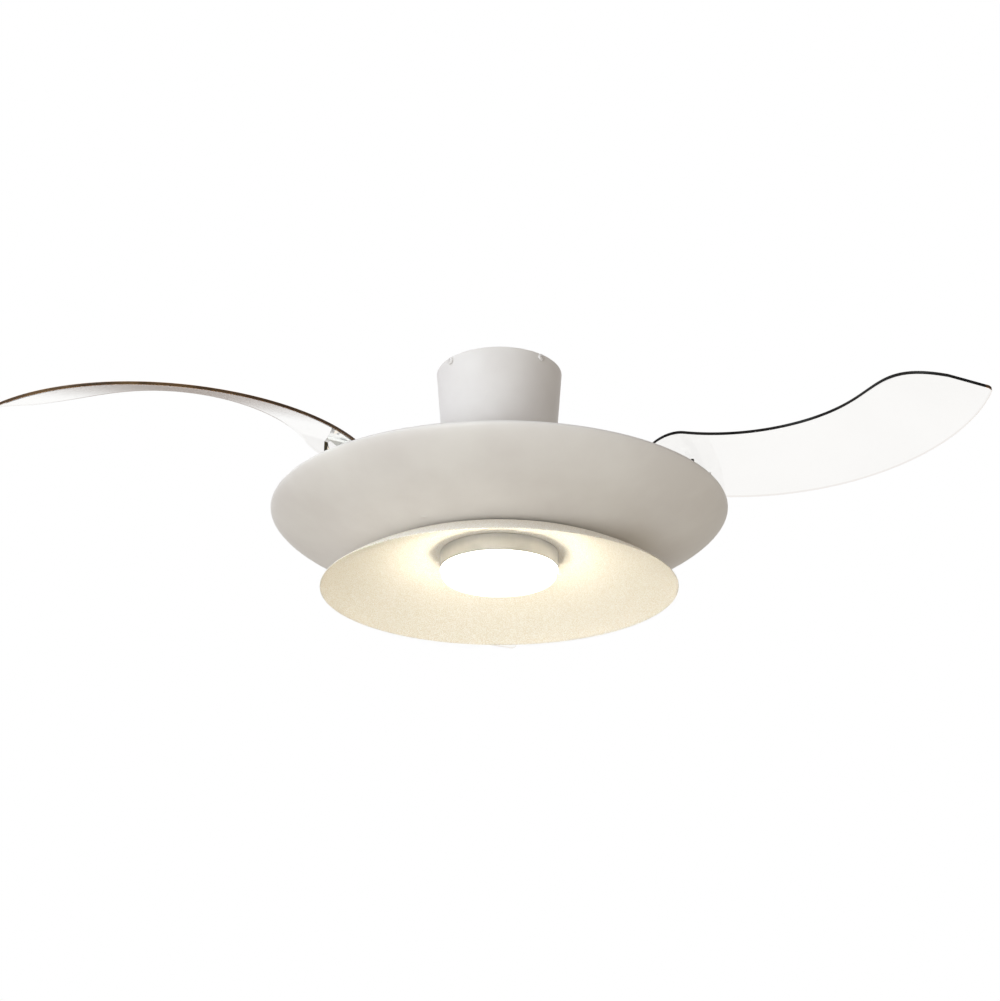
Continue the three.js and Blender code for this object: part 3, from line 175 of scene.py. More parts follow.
SCREW_RADIUS = 2

SECTOR_TEETH = 18
SYNC_TEETH = 102
GEAR_MODULE = 2 * PIVOT_CIRCLE / (SECTOR_TEETH + SYNC_TEETH)
ADDENDUM = 0.9  # of the module, as is the dedendum
DEDENDUM = 1.2
BACKLASH = 0.5
PRESSURE_ANGLE = 20 * DEG
SYNC_BORE = GEAR_MODULE * (SYNC_TEETH / 2 - DEDENDUM) - 15.6


# ---- mesh helpers ------------------------------------------------------------------------------

def polar(radius, degrees):
    return radius * math.cos(degrees * DEG), radius * math.sin(degrees * DEG)


def arc(centre, radii, start, end, steps):
    """Points on an ellipse about centre, from one angle to another, in degrees."""
    points = []
    for i in range(steps + 1):
        x, y = polar(1, start + (end - start) * i / steps)
        points.append((centre[0] + radii[0] * x, centre[1] + radii[1] * y))
    return points


def filleted(corners, radius, steps=4):
    """A closed outline with each corner rounded; a corner may carry its own radius as a third number."""
    outline = []
    count = len(corners)
    for i, corner in enumerate(corners):
        here = Vector(corner[:2])
        before = Vector(corners[i - 1][:2]) - here
        after = Vector(corners[(i + 1) % count][:2]) - here
        wanted = corner[2] if len(corner) > 2 else radius
        turn = before.angle(after)
        if wanted <= 0 or turn > 179 * DEG:
            outline.append(tuple(here))
            continue
        cut = min(wanted / math.tan(turn / 2), before.length * 0.45, after.length * 0.45)
        start = here + before.normalized() * cut
        end = here + after.normalized() * cut
        for k in range(steps + 1):
            t = k / steps
            point = start * (1 - t) ** 2 + here * 2 * t * (1 - t) + end * t ** 2
            outline.append(tuple(point))
    return outline


def inset(line, distance):
    """The line moved square to itself, to the left of its direction."""
    moved = []
    for i, point in enumerate(line):
        here = Vector(point)
        along = (Vector(line[min(i + 1, len(line) - 1)]) - Vector(line[max(i - 1, 0)])).normalized()
        moved.append((here.x - along.y * distance, here.y + along.x * distance))
    return moved


def finish_mesh(obj):
    """Merges doubles, turns faces outwards, and shades smooth but for sharp edges."""
    mesh = bmesh.new()
    mesh.from_mesh(obj.data)
    bmesh.ops.remove_doubles(mesh, verts=mesh.verts, dist=2 * NO_LENGTH)
    bmesh.ops.dissolve_degenerate(mesh, edges=mesh.edges, dist=NO_LENGTH)
    bmesh.ops.recalc_face_normals(mesh, faces=mesh.faces)
    for face in mesh.faces:
        face.smooth = True
    for edge in mesh.edges:
        edge.smooth = edge.is_manifold and edge.calc_face_angle(0) < SHARP_EDGE
    mesh.to_mesh(obj.data)
    mesh.free()
    return obj


def in_scene(name, data):
    obj = bpy.data.objects.new(name, data)
    scene.collection.objects.link(obj)
    return obj


def new_mesh(name, points, faces):
    mesh = bpy.data.meshes.new(name)
    mesh.from_pydata([(x * MM, y * MM, z * MM) for x, y, z in points], [], faces)
    return finish_mesh(in_scene(name, mesh))


def baked(obj):
    """Applies the object's modifiers to its mesh."""
    bpy.context.view_layer.update()
    depsgraph = bpy.context.evaluated_depsgraph_get()
    mesh = bpy.data.meshes.new_from_object(obj.evaluated_get(depsgraph))
    obj.modifiers.clear()
    obj.data = mesh
    return finish_mesh(obj)


def boolean(obj, tools, operation):
    for tool in tools:
        modifier = obj.modifiers.new("boolean", "BOOLEAN")
        modifier.operation = operation
        modifier.solver = "EXACT"
        modifier.object = tool
        baked(obj)
        bpy.data.objects.remove(tool)
    return obj


def cut(obj, *tools):
    return boolean(obj, tools, "DIFFERENCE")


def united(obj, *tools):
    return boolean(obj, tools, "UNION")


def softened(obj, width, segments=2, angle=40):
    """Rounds the edges that are sharper than an angle."""
    modifier = obj.modifiers.new("bevel", "BEVEL")
    modifier.width = width * MM
    modifier.segments = segments
    modifier.limit_method = "ANGLE"
    modifier.angle_limit = angle * DEG
    return baked(obj)


def placed(obj, *matrices):
    for matrix in matrices:
        obj.data.transform(matrix)
    return obj


def shift(x, y, z=0):
    return Matrix.Translation(Vector((x, y, z)) * MM)


def turn(degrees, axis="Z"):
    return Matrix.Rotation(degrees * DEG, 4, axis)


def copy_of(obj):
    return in_scene(obj.name, obj.data.copy())


def copies(obj, angles, radius):
    """The object's copies at angles round the vertical axis; the object itself is used up."""
    made = [placed(copy_of(obj), shift(radius, 0), turn(angle)) for angle in angles]
    bpy.data.objects.remove(obj)
    return made


def lathe(profile, facets=FACETS):
    """A profile of (radius, z) turned about the vertical axis; it ends on the axis or closes on itself."""
    on_axis = profile[0][0] == 0 and profile[-1][0] == 0
    count = len(profile)
    points = []
    for j in range(facets):
        angle = 2 * math.pi * j / facets
        points += [(r * math.cos(angle), r * math.sin(angle), z) for r, z in profile]
    spans = count - 1 if on_axis else count
    faces = []
    for j in range(facets):
        here = j * count
        there = (j + 1) % facets * count
        for k in range(spans):
            after = (k + 1) % count
            faces.append((here + k, there + k, there + after, here + after))
    return new_mesh("lathe", points, faces)


def ring(inner, outer, bottom, top, facets=MEDIUM, rounding=0.4):
    profile = filleted([(inner, bottom), (outer, bottom), (outer, top), (inner, top)], rounding, 3)
    return lathe(profile, facets)


def bar(radius, bottom, top, facets=SMALL):
    return lathe([(0, bottom), (radius, bottom), (radius, top), (0, top)], facets)


def from_bmesh(shape, materials):
    mesh = bpy.data.meshes.new("shape")
    shape.to_mesh(mesh)
    shape.free()
    for material in materials:
        mesh.materials.append(material)
    return in_scene("shape", mesh)


def prism(outline, bottom, top, materials=()):
    """An outline of (x, y) points between two heights; a second material goes on its sides."""
    shape = bmesh.new()
    corners = [shape.verts.new((x * MM, y * MM, bottom * MM)) for x, y in outline]
    edges = [shape.edges.new((corners[i - 1], corners[i])) for i in range(len(corners))]
    caps = bmesh.ops.triangle_fill(shape, use_beauty=True, use_dissolve=False, edges=edges)["geom"]
    caps = [face for face in caps if isinstance(face, bmesh.types.BMFace)]
    bmesh.ops.dissolve_faces(shape, faces=caps)
    moved = bmesh.ops.extrude_face_region(shape, geom=shape.faces[:])["geom"]
    tops = [vert for vert in moved if isinstance(vert, bmesh.types.BMVert)]
    bmesh.ops.translate(shape, verts=tops, vec=(0, 0, (top - bottom) * MM))
    for face in shape.faces:
        heights = [vert.co.z for vert in face.verts]
        face.material_index = int(len(materials) > 1 and max(heights) - min(heights) > NO_LENGTH)
    return finish_mesh(from_bmesh(shape, materials))


def block(size, centre, rounding=0.0):
    x, y, z = (length / 2 for length in size)
    outline = [(-x, -y), (x, -y), (x, y), (-x, y)]
    obj = placed(prism(outline, -z, z), shift(*centre))
    return softened(obj, rounding) if rounding else obj


def joined(*objects):
    """One object from several whose surfaces don't cross; each keeps its materials."""
    mesh = bmesh.new()
    materials = []
    for obj in objects:
        first = len(materials)
        materials += obj.data.materials[:]
        done = len(mesh.faces)
        mesh.from_mesh(obj.data)
        mesh.faces.ensure_lookup_table()
        for face in mesh.faces[done:]:
            face.material_index += first
        bpy.data.objects.remove(obj)
    return from_bmesh(mesh, materials)


def threads(radius, bottom, top, pitch=0.8):
    """Profile points of a threaded stretch, going up."""
    count = max(1, round((top - bottom) / pitch))
    step = (top - bottom) / count
    line = []
    for i in range(count):
        line += [(radius - THREAD_DEPTH, bottom + i * step), (radius, bottom + (i + 0.5) * step)]
    return line + [(radius - THREAD_DEPTH, top)]


def screw(head_radius, head_height, length):
    """A pan-head screw with a cross recess: the head stands on z = 0 and the shank points down."""
    point, neck, edge = 0.6, 0.4, 0.2
    foot = head_height * 0.35
    dome = arc((0, foot), (head_radius, head_height - foot), 12, 90, 6)[:-1]
    profile = [(0, -length), (SCREW_RADIUS - point, -length)]
    profile += threads(SCREW_RADIUS, point - length, -2 * neck)
    profile += [(SCREW_RADIUS, -neck), (SCREW_RADIUS, 0), (head_radius - edge, 0), (head_radius, edge)]
    profile += [*dome, (0, head_height)]
    slot_size = (head_radius * 1.15, 0.8, head_height)
    slots = [placed(block(slot_size, (0, 0, head_height)), turn(angle)) for angle in (0, 90)]
    return cut(lathe(profile, SMALL), *slots)


def hex_nut(radius, bottom, top):
    """Across its corners the nut measures twice the radius; its corners are rounded off at both faces."""
    nut = prism([polar(radius, 60 * i) for i in range(6)], bottom, top)
    chamfer = radius * 0.1
    outside = radius + 0.1
    profile = [(0, bottom), (radius - chamfer, bottom), (outside, bottom + chamfer)]
    profile += [(outside, top - chamfer), (radius - chamfer, top), (0, top)]
    boolean(nut, [lathe(profile, MEDIUM)], "INTERSECT")
    return cut(nut, bar(ON_SHAFT, bottom - 1, top + 1, MEDIUM))


# ---- materials ---------------------------------------------------------------------------------

def linear(red, green, blue):
    """An sRGB colour, 0 to 255, as the linear colour a shader takes."""
    def channel(value):
        share = value / 255
        return share / 12.92 if share <= 0.04045 else ((share + 0.055) / 1.055) ** 2.4
    return (channel(red), channel(green), channel(blue), 1)


def set_inputs(tree, node, values):
    """Each input takes a number or a colour, or is linked to an output or to a node's first output."""
    for name, value in values.items():
        if isinstance(value, bpy.types.Node):
            value = value.outputs[0]
        if isinstance(value, bpy.types.NodeSocket):
            tree.links.new(value, node.inputs[name])
        else:
            node.inputs[name].default_value = value


def add_node(tree, kind, values=None, **settings):
    node = tree.nodes.new(f"ShaderNode{kind}")
    for name, setting in settings.items():
        setattr(node, name, setting)
    set_inputs(tree, node, values or {})
    return node


def mixed(tree, share, first, second):
    return add_node(tree, "MixShader", {"Fac": share, 1: first, 2: second})


class Finish:
    """A node material made of noise: patches for the colour, grain for roughness and relief."""

    def __init__(self, name, metallic=0.0, specular=0.5, ior=1.5):
        self.material = bpy.data.materials.new(name)
        self.material.use_nodes = True
        self.tree = self.material.node_tree
        self.shader = self.tree.nodes["Principled BSDF"]
        self.shade({"Metallic": metallic, "Specular IOR Level": specular, "IOR": ior})
        self.place = self.add("TexCoord").outputs["Object"]

    def add(self, kind, values=None, **settings):
        return add_node(self.tree, kind, values, **settings)

    def shade(self, values):
        set_inputs(self.tree, self.shader, values)

    def show(self, shader):
        set_inputs(self.tree, self.tree.nodes["Material Output"], {"Surface": shader})

    def noise(self, scale, detail=2.0, stretch=(1, 1, 1)):
        mapping = self.add("Mapping", {"Scale": stretch, "Vector": self.place})
        return self.add("TexNoise", {"Scale": scale, "Detail": detail, "Vector": mapping})

    def colour(self, value, dark, light, spread=(0.35, 0.65)):
        ramp = self.add("ValToRGB", {"Fac": value})
        for element, position, shade in zip(ramp.color_ramp.elements, spread, (dark, light)):
            element.position = position
            element.color = linear(*shade)
        self.shade({"Base Color": ramp})

    def roughness(self, value, least, most):
        limits = {"From Min": 0.3, "From Max": 0.7, "To Min": least, "To Max": most}
        self.shade({"Roughness": self.add("MapRange", {"Value": value, **limits})})

    def relief(self, value, strength, depth):
        self.shade({"Normal": self.add("Bump", {"Height": value, "Strength": strength, "Distance": depth})})


def surface(name, dark, light, rough, *, metallic=0, patch=14, grain=1100, strength=0.1, stretch=(1, 1, 1)):
    """A finish whose colour drifts in patches and whose grain carries the roughness and the relief."""
    made = Finish(name, metallic)
    made.colour(made.noise(patch, 4), dark, light)
    fine = made.noise(grain, 2, stretch)
    made.roughness(fine, *rough)
    made.relief(fine, strength, 0.0002)
    return made.material


def dish_paint():
    """Sand-textured paint: pale grains of about 0.7 mm over a warm ground."""
    made = Finish("dish_paint", specular=0.35)
    grains = made.noise(900, 3)
    made.colour(grains, (236, 227, 209), (254, 252, 246), (0.4, 0.6))
    made.roughness(grains, 0.62, 0.82)
    made.relief(grains, 0.4, 0.0004)
    return made.material


def acrylic(name, dark, light):
    """Clear sheet: lamp light passes through it, and where it is seen edge on a grey diffuse colour is
    mixed in as a painted reflection.
    """
    made = Finish(name, ior=1.49)
    made.shade({"Transmission Weight": 1})
    waves = made.noise(9)
    made.colour(waves, dark, light)
    made.roughness(made.noise(160, 3), 0.0, 0.02)
    made.relief(waves, 0.04, 0.001)
    # Painted reflection: towards grazing views the sheet is mixed with a grey diffuse colour.
    facing = made.add("LayerWeight", {"Blend": 0.5}).outputs["Facing"]
    limits = {"From Min": 0.84, "From Max": 0.97, "To Max": 0.8}
    edge_on = made.add("MapRange", {"Value": facing, **limits}, interpolation_type="SMOOTHSTEP")
    painted_grazing_grey = made.add("BsdfDiffuse", {"Color": linear(196, 182, 178)})
    sheet = mixed(made.tree, edge_on, made.shader, painted_grazing_grey)
    clear = made.add("BsdfTransparent", {"Color": (0.93, 0.93, 0.93, 1)})
    shadow = made.add("LightPath").outputs["Is Shadow Ray"]
    made.show(mixed(made.tree, shadow, sheet, clear))
    return made.material


def edge_painted_light(name, dark, light, within):
    """A colour painted on the sheet's polished edge in place of the shade and reflections seen there;
    within is the painted shade it shows from inside the sheet.
    """
    made = Finish(name, specular=0.1)
    made.colour(made.noise(30, 3), dark, light, (0.4, 0.6))
    made.roughness(made.noise(700), 0.16, 0.3)
    made.relief(made.noise(420, 2, (1, 1, 8)), 0.1, 0.0001)
    clear = made.add("BsdfTransparent", {"Color": within})
    behind = made.add("NewGeometry").outputs["Backfacing"]
    made.show(mixed(made.tree, behind, made.shader, clear))
    return made.material


def opal():
    """Milky plastic lit from behind."""
    made = Finish("opal_acrylic")
    made.colour(made.noise(25), (250, 247, 238), (255, 253, 247))
    grain = made.noise(500)
    made.roughness(grain, 0.28, 0.36)
    made.relief(grain, 0.03, 0.0001)
    seen = made.add("LightPath").outputs["Is Camera Ray"]
    strength = made.add("MapRange", {"Value": seen, "To Min": LAMP_STRENGTH, "To Max": LAMP_SEEN})
    made.shade({"Emission Color": linear(255, 247, 228), "Emission Strength": strength})
    return made.material


LAMP_STRENGTH = 26  # what falls on the dish
LAMP_SEEN = 1  # what the eye and the camera are left with

MATERIALS = {
    "white_paint": surface("white_paint", (226, 222, 219), (233, 230, 227), (0.4, 0.52)),
    "dish_paint": dish_paint(),
    "steel": surface("steel", (160, 163, 168), (196, 198, 200), (0.24, 0.4), metallic=1, patch=60,
                     grain=420),
    "stator_steel": surface("stator_steel", (88, 92, 98), (112, 114, 118), (0.4, 0.6), metallic=1,
                            grain=700, strength=0.4, stretch=(0.05, 0.05, 3)),
    "copper": surface("copper", (168, 92, 48), (201, 120, 70), (0.24, 0.4), metallic=1,
                      grain=400, strength=0.3, stretch=(0.2, 0.2, 3)),
    "magnet": surface("magnet", (46, 47, 52), (64, 65, 70), (0.45, 0.65), metallic=0.6, grain=900),
    "aluminium": surface("aluminium", (205, 206, 208), (219, 219, 220), (0.34, 0.46), metallic=1, patch=40,
                         grain=600, strength=0.08, stretch=(0.3, 0.3, 4)),
    "brass": surface("brass", (186, 148, 66), (212, 176, 92), (0.22, 0.36), metallic=1, patch=50,
                     grain=500),
    "rubber": surface("rubber", (30, 30, 33), (44, 43, 46), (0.7, 0.9), grain=900, strength=0.25),
    "black_plastic": surface("black_plastic", (36, 36, 40), (48, 48, 52), (0.42, 0.58), grain=1300,
                             strength=0.2),
    "white_plastic": surface("white_plastic", (226, 225, 220), (236, 235, 231), (0.38, 0.5), grain=900,
                             strength=0.06),
    "circuit_board": surface("circuit_board", (228, 232, 228), (240, 243, 240), (0.3, 0.5), grain=900),
    # Its grey towards grazing views is painted reflection, made in acrylic().
    "clear_acrylic": acrylic("clear_acrylic", (251, 250, 248), (253, 252, 250)),
    "opal_acrylic": opal(),
}
# Painted shade on the blade's clear edges: brown along the trailing edge and near-black along the leading
# edge. The orange on the trailing edge's rounded corners is painted reflection.
TRAILING_EDGE_PAINTED_SHADE = edge_painted_light("trailing_edge_painted_shade", (66, 50, 33), (96, 74, 49), (0.9, 0.88, 0.86, 1))
LEADING_EDGE_PAINTED_SHADE = edge_painted_light("leading_edge_painted_shade", (14, 13, 13), (30, 27, 25), (0.9, 0.88, 0.86, 1))
EDGE_PAINTED_REFLECTION = edge_painted_light("edge_painted_reflection", (222, 148, 84), (246, 186, 126), (0.95, 0.93, 0.9, 1))
# Painted light on the clear web under the blade's root: a cream colour painted into its faces in place of
# the light seen through them, and dark painted shade on its sides and its post.
WEB_PAINTED_WARM_LIGHT = acrylic("web_painted_warm_light", (253, 238, 216), (254, 243, 224))
WEB_EDGE_PAINTED_SHADE = edge_painted_light("web_edge_painted_shade", (30, 26, 18), (64, 54, 34), (0.2, 0.15, 0.1, 1))


def stands_for(obj, node):
    """The object takes the node's name, place in the motion, and finish."""
    obj.name = f"{node}_surface"
    slot = SLOT_OF[node]
    if not obj.data.materials:
        obj.data.materials.append(MATERIALS[slot])
    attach(obj, BODY_OF[node])
    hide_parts(node)
    return obj


# ---- ceiling bracket, yoke and canopy ----------------------------------------------------------

def canopy_radius(drop):
    return reach("canopy") - CANOPY_TAPER * drop / CANOPY_STRAIGHT


def ceiling_bracket():
    """A round plate with four bent ears, a hole for the wires and two keyholes for the ceiling screws."""
    plate_radius, arm_start, wire_hole, wire_place, through = 58, 20, 8, 19, 6
    ear_outer = canopy_radius(EAR_DROP) - CANOPY_WALL - EAR_CLEARANCE
    ear_inner = ear_outer - BRACKET_SHEET
    bottom = high("ceiling_bracket") - BRACKET_SHEET
    plate = lathe([(0, bottom), (plate_radius, bottom), (plate_radius, 0), (0, 0)], MEDIUM)
    profile = filleted([
        (arm_start, bottom, 0), (ear_inner, bottom, 0.8), (ear_inner, -EAR_DROP, 0.3),
        (ear_outer, -EAR_DROP, 0.3), (ear_outer, 0, 3), (arm_start, 0, 0),
    ], 0.3)
    for azimuth in CANOPY_SCREW_AZIMUTHS:
        arm = placed(prism(profile, -EAR_WIDTH / 2, EAR_WIDTH / 2), turn(90, "X"))
        hole = placed(bar(SCREW_HOLE, 50, 80), turn(90, "Y"), shift(0, 0, -CANOPY_SCREW_DROP))
        united(plate, placed(cut(arm, hole), turn(azimuth)))
    tools = [placed(bar(wire_hole, -through, through), shift(0, -wire_place))]
    narrow, wide, length, circle = 3, 6, 8, 40
    near, far = circle - length, circle + length + narrow
    for angle in (90, 270):
        tools.append(placed(bar(wide, -through, through), shift(0, near), turn(angle)))
        run = filleted([(-narrow, near), (narrow, near), (narrow, far), (-narrow, far)], 2.9, 8)
        tools.append(placed(prism(run, -through, through), turn(angle)))
    return softened(cut(plate, *tools), 0.3)


def hanger_yoke():
    bottom, top = span("hanger_yoke")
    side, flange, sheet, width, bend = 32, 14, 2.5, 30, 3.5
    half = [(side - flange, top, 0.3), (side, top, bend), (side, bottom, bend)]
    inner = [(side - sheet, bottom + sheet, 1), (side - sheet, top - sheet, 1)]
    inner.append((side - flange, top - sheet, 0.3))
    outline = half + [(-x, z, r) for x, z, r in reversed(half)]
    outline += [(-x, z, r) for x, z, r in reversed(inner)] + inner
    yoke = placed(prism(filleted(outline, 1), -width / 2, width / 2), turn(90, "X"))
    return softened(cut(yoke, bar(ON_SHAFT, bottom - 1, bottom + 6, MEDIUM)), 0.3)


def canopy():
    bottom, top = span("canopy")
    wide = reach("canopy")
    hole = SHAFT_RADIUS + 5
    flat = hole + CANOPY_FLAT
    corner = (wide - CANOPY_TAPER - flat, -CANOPY_STRAIGHT - bottom)
    outer = [(wide, top - 0.6), (wide - CANOPY_TAPER * 0.5, top - CANOPY_STRAIGHT * 0.5)]
    outer += arc((flat, -CANOPY_STRAIGHT), corner, 0, -90, 28)
    outer += [(hole + 4, bottom), (hole + 1.2, bottom), (hole, bottom + 1.2)]
    inner = inset(outer, -CANOPY_WALL)
    shell = lathe([(wide - 0.6, top), *outer, *reversed(inner), (wide - CANOPY_WALL + 0.4, top)])
    slots = []
    depth = 12
    drop = CANOPY_SCREW_DROP
    for azimuth in CANOPY_SCREW_AZIMUTHS:
        end = placed(bar(SCREW_HOLE, wide - depth / 2, wide + depth / 2), turn(90, "Y"), shift(0, 0, -drop))
        run = block((depth, 2 * SCREW_HOLE, drop + 1), (wide, 0, (1 - drop) / 2))
        slots += [placed(end, turn(azimuth)), placed(run, turn(azimuth))]
    return cut(shell, *slots)


def receiver_box():
    bottom, top = span("receiver_box")
    middle, depth, lid_height = 39, 20, 1.8
    box = block((56, 22, depth), (0, middle, top - depth / 2), 1.6)
    lid = block((48, 16, lid_height), (0, middle, bottom + lid_height / 2), 0.6)
    return united(box, lid)


def terminal_block():
    """Three ways, each with an opening for its wire and a bore for its screw."""
    middle = sum(span("terminal_block")) / 2
    length, width, height, place = 34, 15, 14, -38
    body = block((length, width, height), (0, place, middle), 0.8)
    for i in (-1, 0, 1):
        x = i * length / 3
        cut(body, block((8, 6, 5), (x, place - width / 2, middle)))
        cut(body, placed(bar(2.4, -6, 0), shift(x, place, middle + 7.5)))
    return body


def hollow_shaft():
    bottom, top = span("hollow_shaft")
    chamfer, pitch, lower_thread = 0.8, 1.5, 14
    bore = SHAFT_RADIUS - SHAFT_WALL
    end = SHAFT_RADIUS - chamfer
    outside = threads(SHAFT_RADIUS, bottom + chamfer, bottom + lower_thread, pitch)
    outside += threads(SHAFT_RADIUS, low("shaft_top_nut") - 3, top - chamfer, pitch)
    return lathe([(bore, bottom), (end, bottom), *outside, (end, top), (bore, top)], MEDIUM)


def build_ceiling_side():
    stands_for(ceiling_bracket(), "ceiling_bracket")
    stands_for(hanger_yoke(), "hanger_yoke")
    stands_for(canopy(), "canopy")
    seat = canopy_radius(CANOPY_SCREW_DROP) + GAP
    for i, azimuth in enumerate(CANOPY_SCREW_AZIMUTHS):
        body = screw(SCREW_HEAD, 2.4, 10.6)
        placed(body, turn(90, "Y"), shift(seat, 0, -CANOPY_SCREW_DROP), turn(azimuth))
        stands_for(body, f"canopy_screw_{i + 1}")
    stands_for(receiver_box(), "receiver_box")
    stands_for(terminal_block(), "terminal_block")
    damper = ring(ON_SHAFT, DAMPER_RADIUS, *span("rubber_damper"), rounding=1.2)
    stands_for(damper, "rubber_damper")
    stands_for(hex_nut(TOP_NUT_RADIUS, *span("shaft_top_nut")), "shaft_top_nut")
    stands_for(hollow_shaft(), "hollow_shaft")


# ---- motor -------------------------------------------------------------------------------------

def motor_shell(face, edge, hole, up, shoulder):
    """Half of the motor's shell, with a collar for its bearing; up is the side of its flat face."""
    wide = reach("rotor_upper_shell")
    inside = wide - MOTOR_SHEET
    back = face - up * MOTOR_SHEET
    seat = BEARING_RADIUS + GAP
    collar_radius = seat + MOTOR_SHEET
    collar = back - up * 8.3
    corners = [
        (hole, face, 0.6), (wide, face, shoulder), (wide, edge, 0.3), (inside, edge, 0.3),
        (inside, back, max(shoulder - MOTOR_SHEET, 1)), (collar_radius, back, 1),
        (collar_radius, collar, 0.4), (seat, collar, 0.4), (seat, back, 0.2), (hole, back, 0.4),
    ]
    return lathe(filleted(corners, 0.3, 8))


def build_motor():
    split, top = span("rotor_upper_shell")
    wide = reach("rotor_upper_shell")
    upper = motor_shell(top, split, SHAFT_RADIUS + 3, up=1, shoulder=9)
    vent_radius, vent_inset, vent_angles = 5, 26, [20 + 40 * i for i in range(9)]
    vents = copies(bar(vent_radius, top - 4, top + 2), vent_angles, radius=wide - vent_inset)
    stands_for(softened(cut(upper, *vents), 0.35, 2, 60), "rotor_upper_shell")
    lower = motor_shell(*span("rotor_lower_shell"), reach("lower_spacer") + 2, up=-1, shoulder=1.5)
    stands_for(lower, "rotor_lower_shell")
    magnets = ring(wide - 7.8, wide - 2.8, *span("magnet_ring"), FACETS)
    stands_for(magnets, "magnet_ring")
    build_stator()
    for node in ("upper_bearing", "lower_bearing"):
        stands_for(bearing(*span(node)), node)


def build_stator():
    bottom, top = span("stator_core")
    wide = reach("stator_core")
    core = lathe([(ON_SHAFT, bottom), (wide, bottom), (wide, top), (ON_SHAFT, top)])
    slots, slot_length, slot_width = 12, 27, 13
    slot = block((slot_length, slot_width, 30), (0, 0, (bottom + top) / 2), 2)
    slot_angles = [360 / slots * i for i in range(slots)]
    stands_for(cut(core, *copies(slot, slot_angles, radius=wide - 12.5)), "stator_core")
    for node in ("upper_winding", "lower_winding"):
        stands_for(winding(node, wide - 32), node)


def winding(node, middle):
    """A bundle of wire in a ring, with shallow furrows along it."""
    centre = (low(node) + high(node)) / 2
    half_height = (high(node) - low(node)) / 2
    half_width, furrow, steps = 10, 0.06, 72
    outline = []
    for i in range(steps):
        swell = 1 - furrow * abs(math.sin(i * 22.5 * DEG))
        x, z = polar(swell, i * 360 / steps)
        outline.append((middle + half_width * x, centre + half_height * z))
    return lathe(outline)


def bearing(bottom, top):
    """Two races with a recessed shield between them on both faces."""
    inner, outer, race, recess, bevel = ON_SHAFT, BEARING_RADIUS, 2, 0.6, 0.3
    upper = [
        (outer, top - bevel), (outer - bevel, top), (outer - race, top), (outer - race, top - recess),
        (inner + race, top - recess), (inner + race, top), (inner + bevel, top), (inner, top - bevel),
    ]
    lower = [(r, bottom + top - z) for r, z in reversed(upper)]
    return lathe(lower + upper, MEDIUM)


# ---- blade disc, cover and gears ---------------------------------------------------------------

def pivot_tools(radius, bottom, top):
    return copies(bar(radius, bottom, top, MEDIUM), PIVOT_AZIMUTHS, radius=PIVOT_CIRCLE)


def blade_disc():
    """A flat disc with a raised ring that guides the sync gear, and a bore for each pivot pin."""
    bottom = low("blade_disc")
    wide = reach("blade_disc")
    hole = SHAFT_RADIUS + 15
    guide = SYNC_BORE - 0.8
    shoulder, hub, under_gear = guide + 6, guide - 9, GEAR_BOTTOM - GAP
    corners = [
        (hole, bottom, 0.5), (wide, bottom, 1), (wide, DISC_TOP, 1), (shoulder, DISC_TOP, 1.5),
        (shoulder, under_gear, 0.5), (guide, under_gear, 0.2), (guide, GEAR_TOP, 0.5),
        (hub, GEAR_TOP, 0.5), (hub, DISC_TOP, 1.5), (hole, DISC_TOP, 0.5),
    ]
    disc = lathe(filleted(corners, 0.5, 4))
    return cut(disc, *pivot_tools(PIN_RADIUS + GAP, bottom - 1, DISC_TOP + 1))


def gear_cover():
    """A flat ring with two pressed ribs, holes for the bosses and three posts down to the disc."""
    top = high("gear_cover")
    bottom = top - COVER_SHEET
    inner = reach("rotor_upper_shell") + 2
    outer = reach("gear_cover")
    rib, height, edge, round_edge = 3, 1.1, 0.2, 0.3
    upper = []
    for middle in (132, 158):
        upper += arc((middle, top), (rib, height), 180, 0, 10)
    lower = [(r, z - COVER_SHEET) for r, z in upper]
    profile = [(inner, bottom + edge), (inner + edge, bottom), *lower, (outer - edge, bottom)]
    profile += [(outer, bottom + edge), (outer, top - round_edge), (outer - round_edge, top)]
    profile += [*reversed(upper), (inner + edge, top), (inner, top - edge)]
    cover = lathe(profile)
    cut(cover, *pivot_tools(BOSS_RADIUS + 1.5, bottom - 3, top + 3))
    halfway = [angle + 60 for angle in PIVOT_AZIMUTHS]
    united(cover, *copies(bar(4, DISC_TOP + GAP, top - 0.2), halfway, radius=PIVOT_CIRCLE + 5))
    return cut(cover, *copies(block((6, 1, 1), (0, 0, top)), halfway, radius=PIVOT_CIRCLE + 5))


def involute(angle):
    return math.tan(angle) - angle


def tooth(teeth):
    """One tooth about angle zero, as (radius, angle in degrees), up one flank and down the other."""
    pitch = GEAR_MODULE * teeth / 2
    base = pitch * math.cos(PRESSURE_ANGLE)
    tip = pitch + ADDENDUM * GEAR_MODULE
    root = pitch - DEDENDUM * GEAR_MODULE
    half = math.pi / teeth / 2 - BACKLASH / 2 / pitch
    start = max(root, base)
    flank = []
    for i in range(6):
        radius = start + (tip - start) * i / 5
        lean = math.acos(min(1, base / radius))
        flank.append((radius, math.degrees(half + involute(PRESSURE_ANGLE) - involute(lean))))
    if start > root:
        flank.insert(0, (root, flank[0][1]))
    return [(r, -a) for r, a in flank] + flank[::-1]


